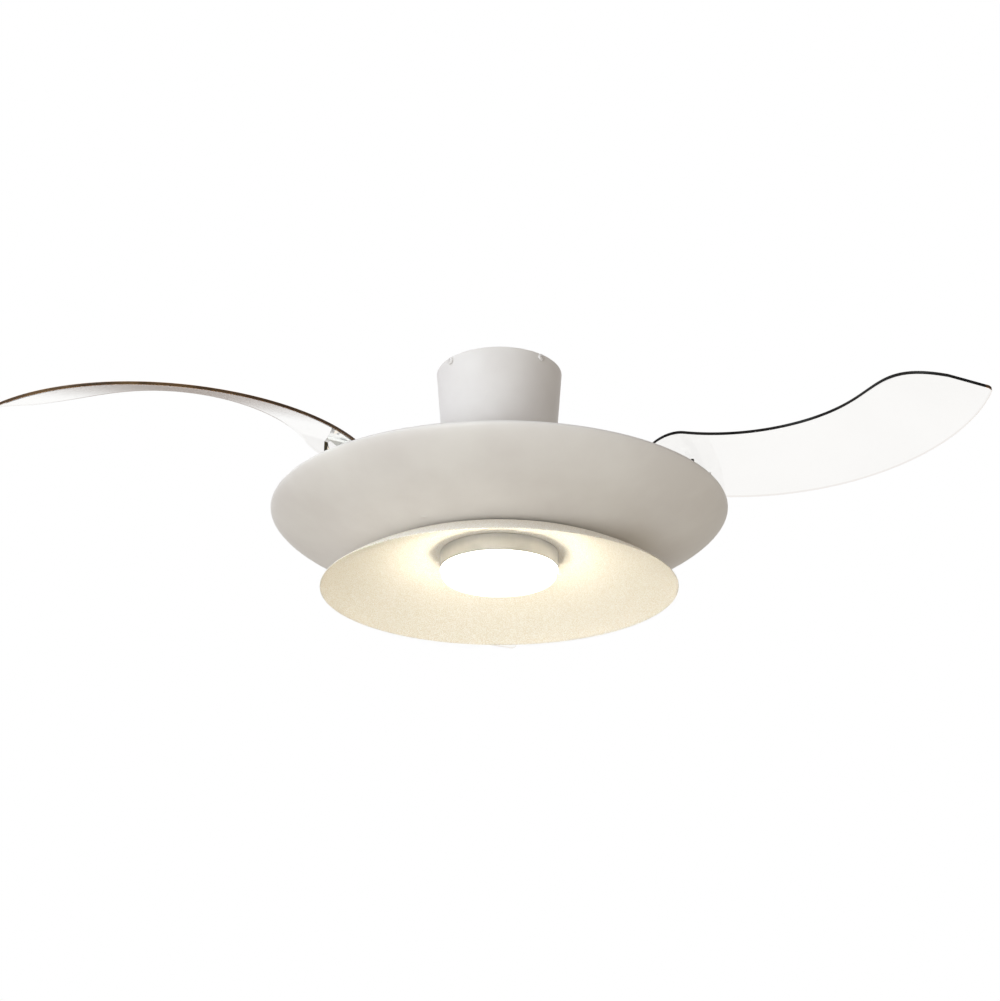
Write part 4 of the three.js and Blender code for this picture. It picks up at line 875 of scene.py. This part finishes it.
def sync_gear():
    """Teeth stand only where the three blades need them."""
    outline = []
    step = 360 / SYNC_TEETH
    per_blade = SYNC_TEETH // BLADE_COUNT
    travel = math.ceil(FOLD_ANGLE * SECTOR_TEETH / SYNC_TEETH / step) + 2
    shape = tooth(SYNC_TEETH)
    for i in range(SYNC_TEETH):
        place = i % per_blade
        angle = i * step + PIVOT_AZIMUTHS[0]
        if place <= 2 or place >= per_blade - travel:
            outline += [polar(r, a + angle) for r, a in shape]
        else:
            outline += [polar(shape[0][0], angle + a) for a in (-1, 0, 1)]
    gear = prism(outline, GEAR_BOTTOM, GEAR_TOP)
    return softened(cut(gear, bar(SYNC_BORE, GEAR_BOTTOM - 1, GEAR_TOP + 1, FACETS)), 0.25, 1)


def torsion_spring():
    """Two turns of round wire about the pin."""
    wire, turns = 1.6, 2
    radius = PIN_RADIUS + 4.5
    bottom = DISC_TOP + GAP + wire / 2
    top = GEAR_BOTTOM - GAP - wire / 2
    steps = turns * 32
    path = []
    for i in range(steps + 1):
        path.append((*polar(radius, 360 * turns * i / steps), bottom + (top - bottom) * i / steps))
    curve = bpy.data.curves.new("spring", "CURVE")
    curve.dimensions = "3D"
    curve.bevel_depth = wire / 2 * MM
    curve.bevel_resolution = 3
    curve.use_fill_caps = True
    spline = curve.splines.new("POLY")
    spline.points.add(len(path) - 1)
    for point, (x, y, z) in zip(spline.points, path):
        point.co = (x * MM, y * MM, z * MM, 1)
    maker = in_scene("spring_path", curve)
    bpy.context.view_layer.update()
    mesh = bpy.data.meshes.new_from_object(maker.evaluated_get(bpy.context.evaluated_depsgraph_get()))
    bpy.data.objects.remove(maker)
    return finish_mesh(in_scene("spring", mesh))


def bump_stop():
    """A rubber arc round the boss, between the places where the gear sector stops."""
    half = 180 - 7 * 360 / SECTOR_TEETH - 2.5
    inner, outer = BOSS_RADIUS + 3, BOSS_RADIUS + 9
    spread = [half * (i / 12 - 1) for i in range(25)]
    outline = [polar(outer, a) for a in spread] + [polar(inner, a) for a in reversed(spread)]
    return softened(prism(outline, DISC_TOP + GAP, GEAR_TOP), 0.7, 3)


def pivot_pin():
    head_top = low("blade_disc") - GAP
    head_bottom = low("pivot_pin_1")
    head = PIN_RADIUS + 3
    round_edge, edge, chamfer = 1.2, 0.3, 0.8
    outline = [(0, head_bottom), (head - 2, head_bottom)]
    outline += arc((head - round_edge, head_bottom + round_edge), (round_edge, round_edge), -90, 0, 4)
    outline += [(head, head_top - edge), (head - edge, head_top), (PIN_RADIUS, head_top)]
    outline += [(PIN_RADIUS, PIN_TOP - chamfer), (PIN_RADIUS - chamfer, PIN_TOP), (0, PIN_TOP)]
    return lathe(outline, MEDIUM)


# ---- blades, drawn folded with the pivot at the origin and the rotor axis at x = -PIVOT_CIRCLE ----

def blade_z(radius, angle):
    along = (ROOT_ANGLE - angle) / (ROOT_ANGLE - TIP_ANGLE)
    return BLADE_ROOT_Z + BLADE_RISE * along + PITCH_SLOPE * (OUTER_ARC - radius)


def corner_inset(distance, radius):
    """How far a rounded corner draws an edge in, at a distance from the end."""
    if distance >= radius:
        return 0
    return radius - math.sqrt(radius ** 2 - (radius - distance) ** 2)


def trailing_line(angle):
    """The trailing edge without its rounded corners."""
    tipwards = max(0, (FLARE_ANGLE - angle) / (FLARE_ANGLE - TIP_ANGLE))
    rootwards = max(0, (angle - HEEL_ANGLE) / (ROOT_ANGLE - HEEL_ANGLE))
    return OUTER_ARC + TIP_FLARE * tipwards ** 2 - HEEL * rootwards ** 2


def trailing_arc(angle):
    from_root = (ROOT_ANGLE - angle) * DEG * OUTER_ARC
    from_tip = (angle - TIP_END) * DEG * OUTER_ARC
    return trailing_line(angle) - corner_inset(from_root, ROOT_CORNER) - corner_inset(from_tip, TIP_CORNER)


def leading_arc(angle):
    towards_root = max(0, (angle - NARROW_ANGLE) / (ROOT_ANGLE - NARROW_ANGLE))
    inner = INNER_ARC + ROOT_CUT * towards_root ** 2
    inner += corner_inset((ROOT_ANGLE - angle) * DEG * inner, LEADING_CORNER)
    short_of_tip = TIP_ANGLE + TIP_ROUND
    if angle >= short_of_tip:
        return inner
    drawn_in = (short_of_tip - angle) / TIP_ROUND
    width = (1 - drawn_in ** TIP_POWER) ** (1 / TIP_POWER)
    outer = trailing_line(angle)
    return outer - (outer - inner) * width


def blade_slab(angles, inner, outer, lower, upper, across):
    """A curved slab that follows the blade's surface."""
    points = []
    for offset in (lower, upper):
        for angle in angles:
            first, last = outer(angle), inner(angle)
            for k in range(across + 1):
                radius = first + (last - first) * k / across
                x, y = polar(radius, angle)
                points.append((x - PIVOT_CIRCLE, y, blade_z(radius, angle) + offset))
    columns = across + 1
    layer = len(angles) * columns
    ends = len(angles) - 1

    def at(side, i, k):
        return side * layer + i * columns + k

    faces = []
    for i in range(ends):
        for k in range(across):
            square = ((i, k), (i + 1, k), (i + 1, k + 1), (i, k + 1))
            faces += [tuple(at(side, *corner) for corner in square) for side in (0, 1)]
    for i in range(ends):
        faces += [(at(0, i, k), at(0, i + 1, k), at(1, i + 1, k), at(1, i, k)) for k in (0, across)]
    for k in range(across):
        faces += [(at(0, i, k), at(0, i, k + 1), at(1, i, k + 1), at(1, i, k)) for i in (0, ends)]
    return new_mesh("slab", points, faces)


def colour_edges(sheet):
    """The sheet's sides take painted shade, brown on the trailing side and near-black on the leading side;
    the trailing side's rounded corners take a painted orange reflection, and the other rounded corners stay
    clear.
    """
    face, trailing, line, leading = range(4)
    for material in (MATERIALS["clear_acrylic"], TRAILING_EDGE_PAINTED_SHADE, EDGE_PAINTED_REFLECTION, LEADING_EDGE_PAINTED_SHADE):
        sheet.data.materials.append(material)
    slanted = Vector((math.sin(BLADE_PITCH * DEG), 0, math.cos(BLADE_PITCH * DEG)))
    for polygon in sheet.data.polygons:
        x, y, _ = polygon.center / MM
        radius = math.hypot(x + PIVOT_CIRCLE, y)
        angle = math.degrees(math.atan2(y, x + PIVOT_CIRCLE))
        flat = abs(polygon.normal.dot(turn(angle).to_3x3() @ slanted)) >= 0.97
        upright = abs(polygon.normal.z) < 0.15
        if radius > trailing_line(angle) - 5 and not flat:
            polygon.material_index = trailing if upright else line
        else:
            polygon.material_index = leading if upright else face
    return sheet


def across_blade(obj, radius, angle):
    """Stands an object square on the blade's middle surface."""
    x, y = polar(radius, angle)
    middle = shift(x - PIVOT_CIRCLE, y, blade_z(radius, angle))
    return placed(obj, turn(BLADE_PITCH, "Y"), turn(angle), middle)


def screw_holes():
    return [across_blade(bar(SCREW_HOLE, -12, 12), BLADE_SCREW_ARC, angle) for angle in BLADE_SCREW_ANGLES]


def web():
    """The upright web under the blade's root: a straight post coloured all over with dark painted shade,
    and a hollow curve to the pivot with cream painted light on its faces and painted shade on its sides.
    """
    reach_out, post, start, heel, thickness, seam, clear = 38, 3, 15, 3, 3, 0.05, 0.1
    foot = ARM_TOP + GAP
    outer, inner = -reach_out, post - reach_out
    top, post_top = [blade_z(PIVOT_CIRCLE + x, 0) - HALF_BLADE - clear for x in (inner, outer)]
    hollow = arc((-start, top - 0.2), (-start - inner, top - foot - heel), 180, 270, 20)
    straight = [(inner - seam, foot), (outer, foot), (outer, post_top), (inner - seam, top)]
    curved = [(-start, foot), (inner, foot), (inner, top), *hollow[1:]]
    half = thickness / 2
    pieces = [
        prism(straight, -half, half, (WEB_EDGE_PAINTED_SHADE,)),
        prism(curved, -half, half, (WEB_PAINTED_WARM_LIGHT, WEB_EDGE_PAINTED_SHADE)),
    ]
    return [softened(placed(piece, turn(90, "X")), 0.25, 1, 50) for piece in pieces]


def blade_angles():
    """Where the sheet is divided along its length, closer together at its rounded ends."""
    straight_end = TIP_ANGLE + TIP_ROUND
    corner = math.degrees(LEADING_CORNER / INNER_ARC)
    root_end = ROOT_ANGLE - corner
    round_end = straight_end - TIP_END
    rows = 28
    angles = [ROOT_ANGLE - corner * (1 - math.cos(i * 6 * DEG)) for i in range(15)]
    angles += [root_end + (straight_end - root_end) * i / 60 for i in range(61)]
    return angles + [straight_end - round_end * (1 - (1 - i / rows) ** 2) for i in range(1, rows + 1)]


def blade():
    sheet = blade_slab(blade_angles(), leading_arc, trailing_arc, -HALF_BLADE, HALF_BLADE, 18)
    softened(sheet, 0.65, 2, 60)
    return joined(colour_edges(cut(sheet, *screw_holes())), *web())


def sector_plate():
    shape = tooth(SECTOR_TEETH)
    outline = [(0, 0)]
    for i in range(8):
        angle = 180 + (i - 0.5) * 360 / SECTOR_TEETH - FOLD_ANGLE
        outline += [polar(r, a + angle) for r, a in shape]
    return softened(prism(outline, GEAR_BOTTOM, GEAR_TOP), 0.2, 1)


def blade_holder():
    """Gear sector, boss, arm and slanted pad in one moulding, trimmed to the blade's underside."""
    pad_inner, pad_outer, pad_angle, pad_sheet = PIVOT_CIRCLE - 22, PIVOT_CIRCLE + 6, 8, 3.28
    arm_length, arm_width, arm_height = 42, 10, 5
    beyond, above = 22, 60
    top = -HALF_BLADE - GAP
    spread = [pad_angle * (1 - i / 6) for i in range(13)]
    pad = blade_slab(spread, lambda a: pad_inner, lambda a: pad_outer, top - pad_sheet, top, 8)
    softened(pad, 0.8, 3)
    wide_spread = [2 * a for a in spread]
    trim = blade_slab(wide_spread, lambda a: pad_inner - beyond, lambda a: pad_outer + beyond,
                      top, top + above, 8)
    trim_twin = copy_of(trim)
    post = cut(bar(BOSS_RADIUS, GEAR_BOTTOM, ARM_TOP + BOSS_RADIUS, MEDIUM), trim)
    arm_middle = (-arm_length / 2, 0, ARM_TOP - arm_height / 2)
    arm = cut(block((arm_length, arm_width, arm_height), arm_middle, 0.8), trim_twin)
    holder = united(post, sector_plate(), arm, pad)
    return cut(holder, bar(PIN_RADIUS + GAP, GEAR_BOTTOM - 1, PIN_TOP + GAP, MEDIUM), *screw_holes())


def blade_screw(angle):
    body = screw(SCREW_HEAD, 2.2, BLADE_THICKNESS + GAP + 3)
    placed(body, shift(0, 0, BLADE_THICKNESS / 2 + GAP))
    return across_blade(body, BLADE_SCREW_ARC, angle)


def build_blades():
    stands_for(blade_disc(), "blade_disc")
    stands_for(gear_cover(), "gear_cover")
    stands_for(sync_gear(), "sync_gear")
    still = {"pivot_pin": pivot_pin(), "torsion_spring": torsion_spring(), "bump_stop": bump_stop()}
    moving = {"blade_holder_{}": blade_holder(), "blade_{}": blade()}
    for k, angle in enumerate(BLADE_SCREW_ANGLES):
        moving[f"blade_{{}}_screw_{k + 1}"] = blade_screw(angle)
    for i in range(BLADE_COUNT):
        station = [turn(PIVOT_AZIMUTHS[i]), shift(PIVOTS[i].x, PIVOTS[i].y)]
        for name, obj in still.items():
            stands_for(placed(copy_of(obj), *station), f"{name}_{i + 1}")
        for name, obj in moving.items():
            stands_for(placed(copy_of(obj), turn(FOLD_ANGLE), *station), name.format(i + 1))
    for obj in [*still.values(), *moving.values()]:
        bpy.data.objects.remove(obj)


# ---- body, dish and lamp -----------------------------------------------------------------------

def dish_z(radius):
    return RIM_Z + DISH_DEPTH * (1 - (radius / DISH_RADIUS) ** DISH_POWER)


def body_bowl():
    """A shell drawn to a superellipse, with an inward lip and three posts for its screws."""
    bottom, top = span("body_bowl")
    wide = reach("body_bowl")
    widest = top - BODY_RIM_ROUND - BODY_RIM_DROP
    steps = 56
    outer = []
    for i in range(steps):
        x, z = (side ** (2 / BODY_POWER) for side in polar(1, 90 * i / steps))
        outer.append((BODY_BOTTOM + (wide - BODY_BOTTOM) * x, widest - (widest - bottom) * z))
    outer += [(BODY_BOTTOM, bottom), (BODY_OPENING + 0.4, bottom), (BODY_OPENING, bottom + 0.4)]
    rim = arc((wide - BODY_RIM_ROUND, widest), (BODY_RIM_ROUND, BODY_RIM_ROUND), 90, 0, 6)[:-1]
    lip = wide - BODY_LIP_WIDTH
    line = [(lip + 0.3, widest + BODY_RIM_ROUND), *rim, *outer]
    inner = inset(line, -BODY_WALL)
    shell = lathe([(lip, widest + BODY_RIM_ROUND - 0.3), *line, *reversed(inner)])
    post_top = high("lower_mount_plate") - MOUNT_SHEET - GAP
    posts = copies(bar(POST_RADIUS, bottom + BODY_WALL + 0.2, post_top), THIRDS, radius=POST_CIRCLE)
    bores = copies(bar(SCREW_HOLE, post_top - 12, post_top + 1), THIRDS, radius=POST_CIRCLE)
    united(shell, *posts)
    return cut(shell, *bores)


def dish_reflector():
    """A sheet whose rim is rolled to a fine bead."""
    steps = 60
    line = []
    for i in range(steps + 1):
        radius = DISH_HOLE + (DISH_RADIUS - DISH_HOLE) * (i / steps) ** 0.8
        line.append((radius, dish_z(radius)))
    back = inset(line, DISH_WALL)
    line[-1] = (DISH_RADIUS - 0.5, dish_z(DISH_RADIUS - 0.5))
    back[-1] = (DISH_RADIUS - 0.6, RIM_Z + 1.5)
    bead = [(DISH_RADIUS - inward, RIM_Z + up) for inward, up in ((0.1, 0.25), (0, 0.6), (0.1, 1.1))]
    dish = lathe([*line, *bead, *reversed(back)])
    return cut(dish, *lamp_screw_tools(SCREW_HOLE, RIM_Z + 30, RIM_Z + 60))


def lamp_screw_tools(radius, bottom, top):
    return copies(bar(radius, bottom, top), LAMP_AZIMUTHS, radius=LAMP_SCREW_CIRCLE)


def mount_plate():
    top = high("lower_mount_plate")
    bottom = top - MOUNT_SHEET
    plate = ring(ON_SHAFT, reach("lower_mount_plate"), bottom, top, FACETS)
    foot = dish_z(LAMP_SCREW_CIRCLE) + DISH_WALL + GAP
    united(plate, *lamp_screw_tools(POST_RADIUS, foot, top - 0.1))
    cut(plate, *lamp_screw_tools(SCREW_HOLE, foot - 1, top - 1))
    return cut(plate, *copies(bar(SCREW_HOLE, bottom - 1, top + 1), THIRDS, radius=POST_CIRCLE))


def led_driver():
    top = high("led_driver")
    middle, length, height = 107, 92, 10
    box = block((44, length, height), (middle, 0, top - height / 2), 1.2)
    for side in (-1, 1):
        united(box, block((24, 7, 6), (middle, side * (length / 2 + 3.2), top - 3.2), 0.8))
    return placed(box, turn(60))


def build_body():
    spacer = ring(ON_SHAFT, reach("lower_spacer"), *span("lower_spacer"))
    stands_for(spacer, "lower_spacer")
    stands_for(mount_plate(), "lower_mount_plate")
    stands_for(hex_nut(LOWER_NUT_RADIUS, *span("lower_shaft_nut")), "lower_shaft_nut")
    stands_for(body_bowl(), "body_bowl")
    for i, azimuth in enumerate(THIRDS):
        body = screw(SCREW_HEAD, 2.2, 12)
        placed(body, shift(POST_CIRCLE, 0, high("lower_mount_plate") + GAP), turn(azimuth))
        stands_for(body, f"bowl_screw_{i + 1}")
    stands_for(led_driver(), "led_driver")
    stands_for(dish_reflector(), "dish_reflector")


def lamp_ring(inside):
    bottom, top = span("lamp_ring")
    wide = reach("lamp_ring")
    flange, under_flange = inside - 6, top - LAMP_SHEET
    corners = [
        (flange, under_flange, 0.3), (inside, under_flange, 0.3), (inside, bottom, 0.5),
        (wide, bottom, 0.6), (wide, top, 0.8), (flange, top, 0.3),
    ]
    return lathe(filleted(corners, 0.3))


def led_board():
    """A round board with a circle of nine diodes under it."""
    top = high("led_board")
    radius, sheet, diode, circle = 38, 1.6, 3.4, 27
    board = lathe([(0, top - sheet), (radius, top - sheet), (radius, top), (0, top)], MEDIUM)
    led = block((diode, diode, 2), (0, 0, top - 1.8), 0.3)
    return united(board, *copies(led, [40 * i for i in range(9)], radius=circle))


def build_lamp():
    inside = reach("lamp_ring") - LAMP_SHEET
    stands_for(lamp_ring(inside), "lamp_ring")
    bottom, top = span("lamp_base")
    base = ring(8, inside - GAP, bottom, top, FACETS)
    stands_for(cut(base, *lamp_screw_tools(SCREW_HOLE, bottom - 1, top + 1)), "lamp_base")
    for i, azimuth in enumerate(LAMP_AZIMUTHS):
        body = screw(3.6, 2, 13.7)
        placed(body, turn(180, "X"), shift(LAMP_SCREW_CIRCLE, 0, bottom - GAP), turn(azimuth))
        stands_for(body, f"lamp_screw_{i + 1}")
    stands_for(led_board(), "led_board")
    stands_for(diffuser(), "diffuser")


def diffuser():
    """An opal cup with a rounded lower edge and a face that is very slightly domed."""
    bottom, top = span("diffuser")
    wide = reach("diffuser")
    round_edge, wall, crown = 7, 2, 1.2
    face = wide - round_edge
    outer = [(wide, top), *arc((face, bottom + round_edge + crown), (round_edge, round_edge), 0, -90, 14)]
    outer += [(share * face, bottom + crown * share ** 2) for share in (0.8, 0.6, 0.4, 0.2)]
    inner = [(max(r, 0), z) for r, z in inset(outer, -wall)]
    return lathe([(0, bottom), *reversed(outer), *inner[:-1], (0, bottom + wall)])


# ---- stage, lights and camera ------------------------------------------------------------------

def path_share(tree):
    """1 for rays that should see the pale background: from the camera, a reflection or clear plastic."""
    rays = add_node(tree, "LightPath")
    total = rays.outputs["Is Camera Ray"]
    for name in ("Is Glossy Ray", "Is Transmission Ray"):
        total = add_node(tree, "Math", {0: total, 1: rays.outputs[name]}, operation="MAXIMUM")
    return total


AMBIENT = (0.01, 0.01, 0.01)
SOFT_BOXES = {
    (-1, 0, 0): (0.74, 0.75, 0.87),
    (1, 0, 0): (0.05, 0.03, 0.01),
    (0, -1, 0): (0.35, 0.33, 0.32),
    (0, 1, 0): (0.45, 0.45, 0.45),
    (0, 0, 1): (0.1, 0.07, 0.05),
}
FLOOR_HALF = 90000
FLOOR_DROP = 1700
FLOOR_BOUNCE = (0.41, 0.365, 0.29)
FLOOR_PAINT = (0.38, 0.38, 0.38)
FLOOR_GLOW = (0.66, 0.66, 0.66)
WHITE = (1, 1, 1)


def build_world():
    """A dim surround with a broad soft light from each side; the background is white."""
    world = bpy.data.worlds.new("studio")
    scene.world = world
    world.use_nodes = True
    tree = world.node_tree
    direction = add_node(tree, "TexCoord").outputs["Generated"]
    total = add_node(tree, "RGB").outputs["Color"]
    total.default_value = (*AMBIENT, 1)
    for side, colour in SOFT_BOXES.items():
        facing = add_node(tree, "VectorMath", {0: direction, 1: side}, operation="DOT_PRODUCT")
        kept = add_node(tree, "Math", {0: facing.outputs["Value"], 1: 0}, operation="MAXIMUM")
        total = add_node(tree, "VectorMath", {0: kept, 1: colour, 2: total}, operation="MULTIPLY_ADD")
    light = tree.nodes["Background"]
    set_inputs(tree, light, {"Color": total})
    white = add_node(tree, "Background", {"Color": (*WHITE, 1), "Strength": 1})
    seen = mixed(tree, path_share(tree), light, white)
    set_inputs(tree, tree.nodes["World Output"], {"Surface": seen})


def build_floor():
    """A pale floor well below the fan that keeps its shadow and sends warm light back up."""
    half = FLOOR_HALF
    corners = ((-half, -half), (half, -half), (half, half), (-half, half))
    floor = new_mesh("floor", [(x, y, -FLOOR_DROP) for x, y in corners], [(0, 1, 2, 3)])
    material = bpy.data.materials.new("floor")
    material.use_nodes = True
    tree = material.node_tree
    tree.nodes.remove(tree.nodes["Principled BSDF"])
    bounce = add_node(tree, "Emission", {"Color": (*FLOOR_BOUNCE, 1)})
    paint = add_node(tree, "BsdfDiffuse", {"Color": (*FLOOR_PAINT, 1)})
    glow = add_node(tree, "Emission", {"Color": (*FLOOR_GLOW, 1)})
    pale = add_node(tree, "AddShader", {0: paint, 1: glow})
    seen = mixed(tree, path_share(tree), bounce, pale)
    set_inputs(tree, tree.nodes["Material Output"], {"Surface": seen})
    floor.data.materials.append(material)


LIGHT_TARGET = (0, 0, -0.2)
LIGHTS = {
    "key": {"place": (-1.8, -1.6, 1.6), "size": 1.4, "power": 20, "colour": (0.84, 0.95, 1)},
    "fill": {"place": (-0.8, -2.4, -1.3), "size": 1.5, "power": 42, "colour": (0.9, 0.96, 1)},
}


def area_light(name, place, size, power, colour):
    data = bpy.data.lights.new(name, "AREA")
    data.shape = "DISK"
    data.size = size
    data.energy = power
    data.color = colour
    lamp = in_scene(name, data)
    lamp.location = place
    lamp.rotation_euler = (Vector(LIGHT_TARGET) - Vector(place)).to_track_quat("-Z", "Y").to_euler()
    lamp.visible_camera = False
    lamp.visible_transmission = False


CAMERA_PLACE = (0, -1.521, -0.7787)
CAMERA_TILT = 22.38  # degrees up
CAMERA_LENS = 54.252  # mm, on a sensor 36 mm wide
CAMERA_SENSOR = 36
CAMERA_SHIFT = 0.00077


def build_camera():
    data = bpy.data.cameras.new("camera")
    data.sensor_fit = "HORIZONTAL"
    data.sensor_width = CAMERA_SENSOR
    data.lens = CAMERA_LENS
    data.shift_x = CAMERA_SHIFT
    camera = in_scene("camera", data)
    camera.location = CAMERA_PLACE
    camera.rotation_euler = ((90 + CAMERA_TILT) * DEG, 0, 0)
    scene.camera = camera


scene.view_settings.view_transform = "Standard"
build_camera()
build_world()
build_floor()
for name, settings in LIGHTS.items():
    area_light(name, **settings)
build_ceiling_side()
build_motor()
build_blades()
build_body()
build_lamp()
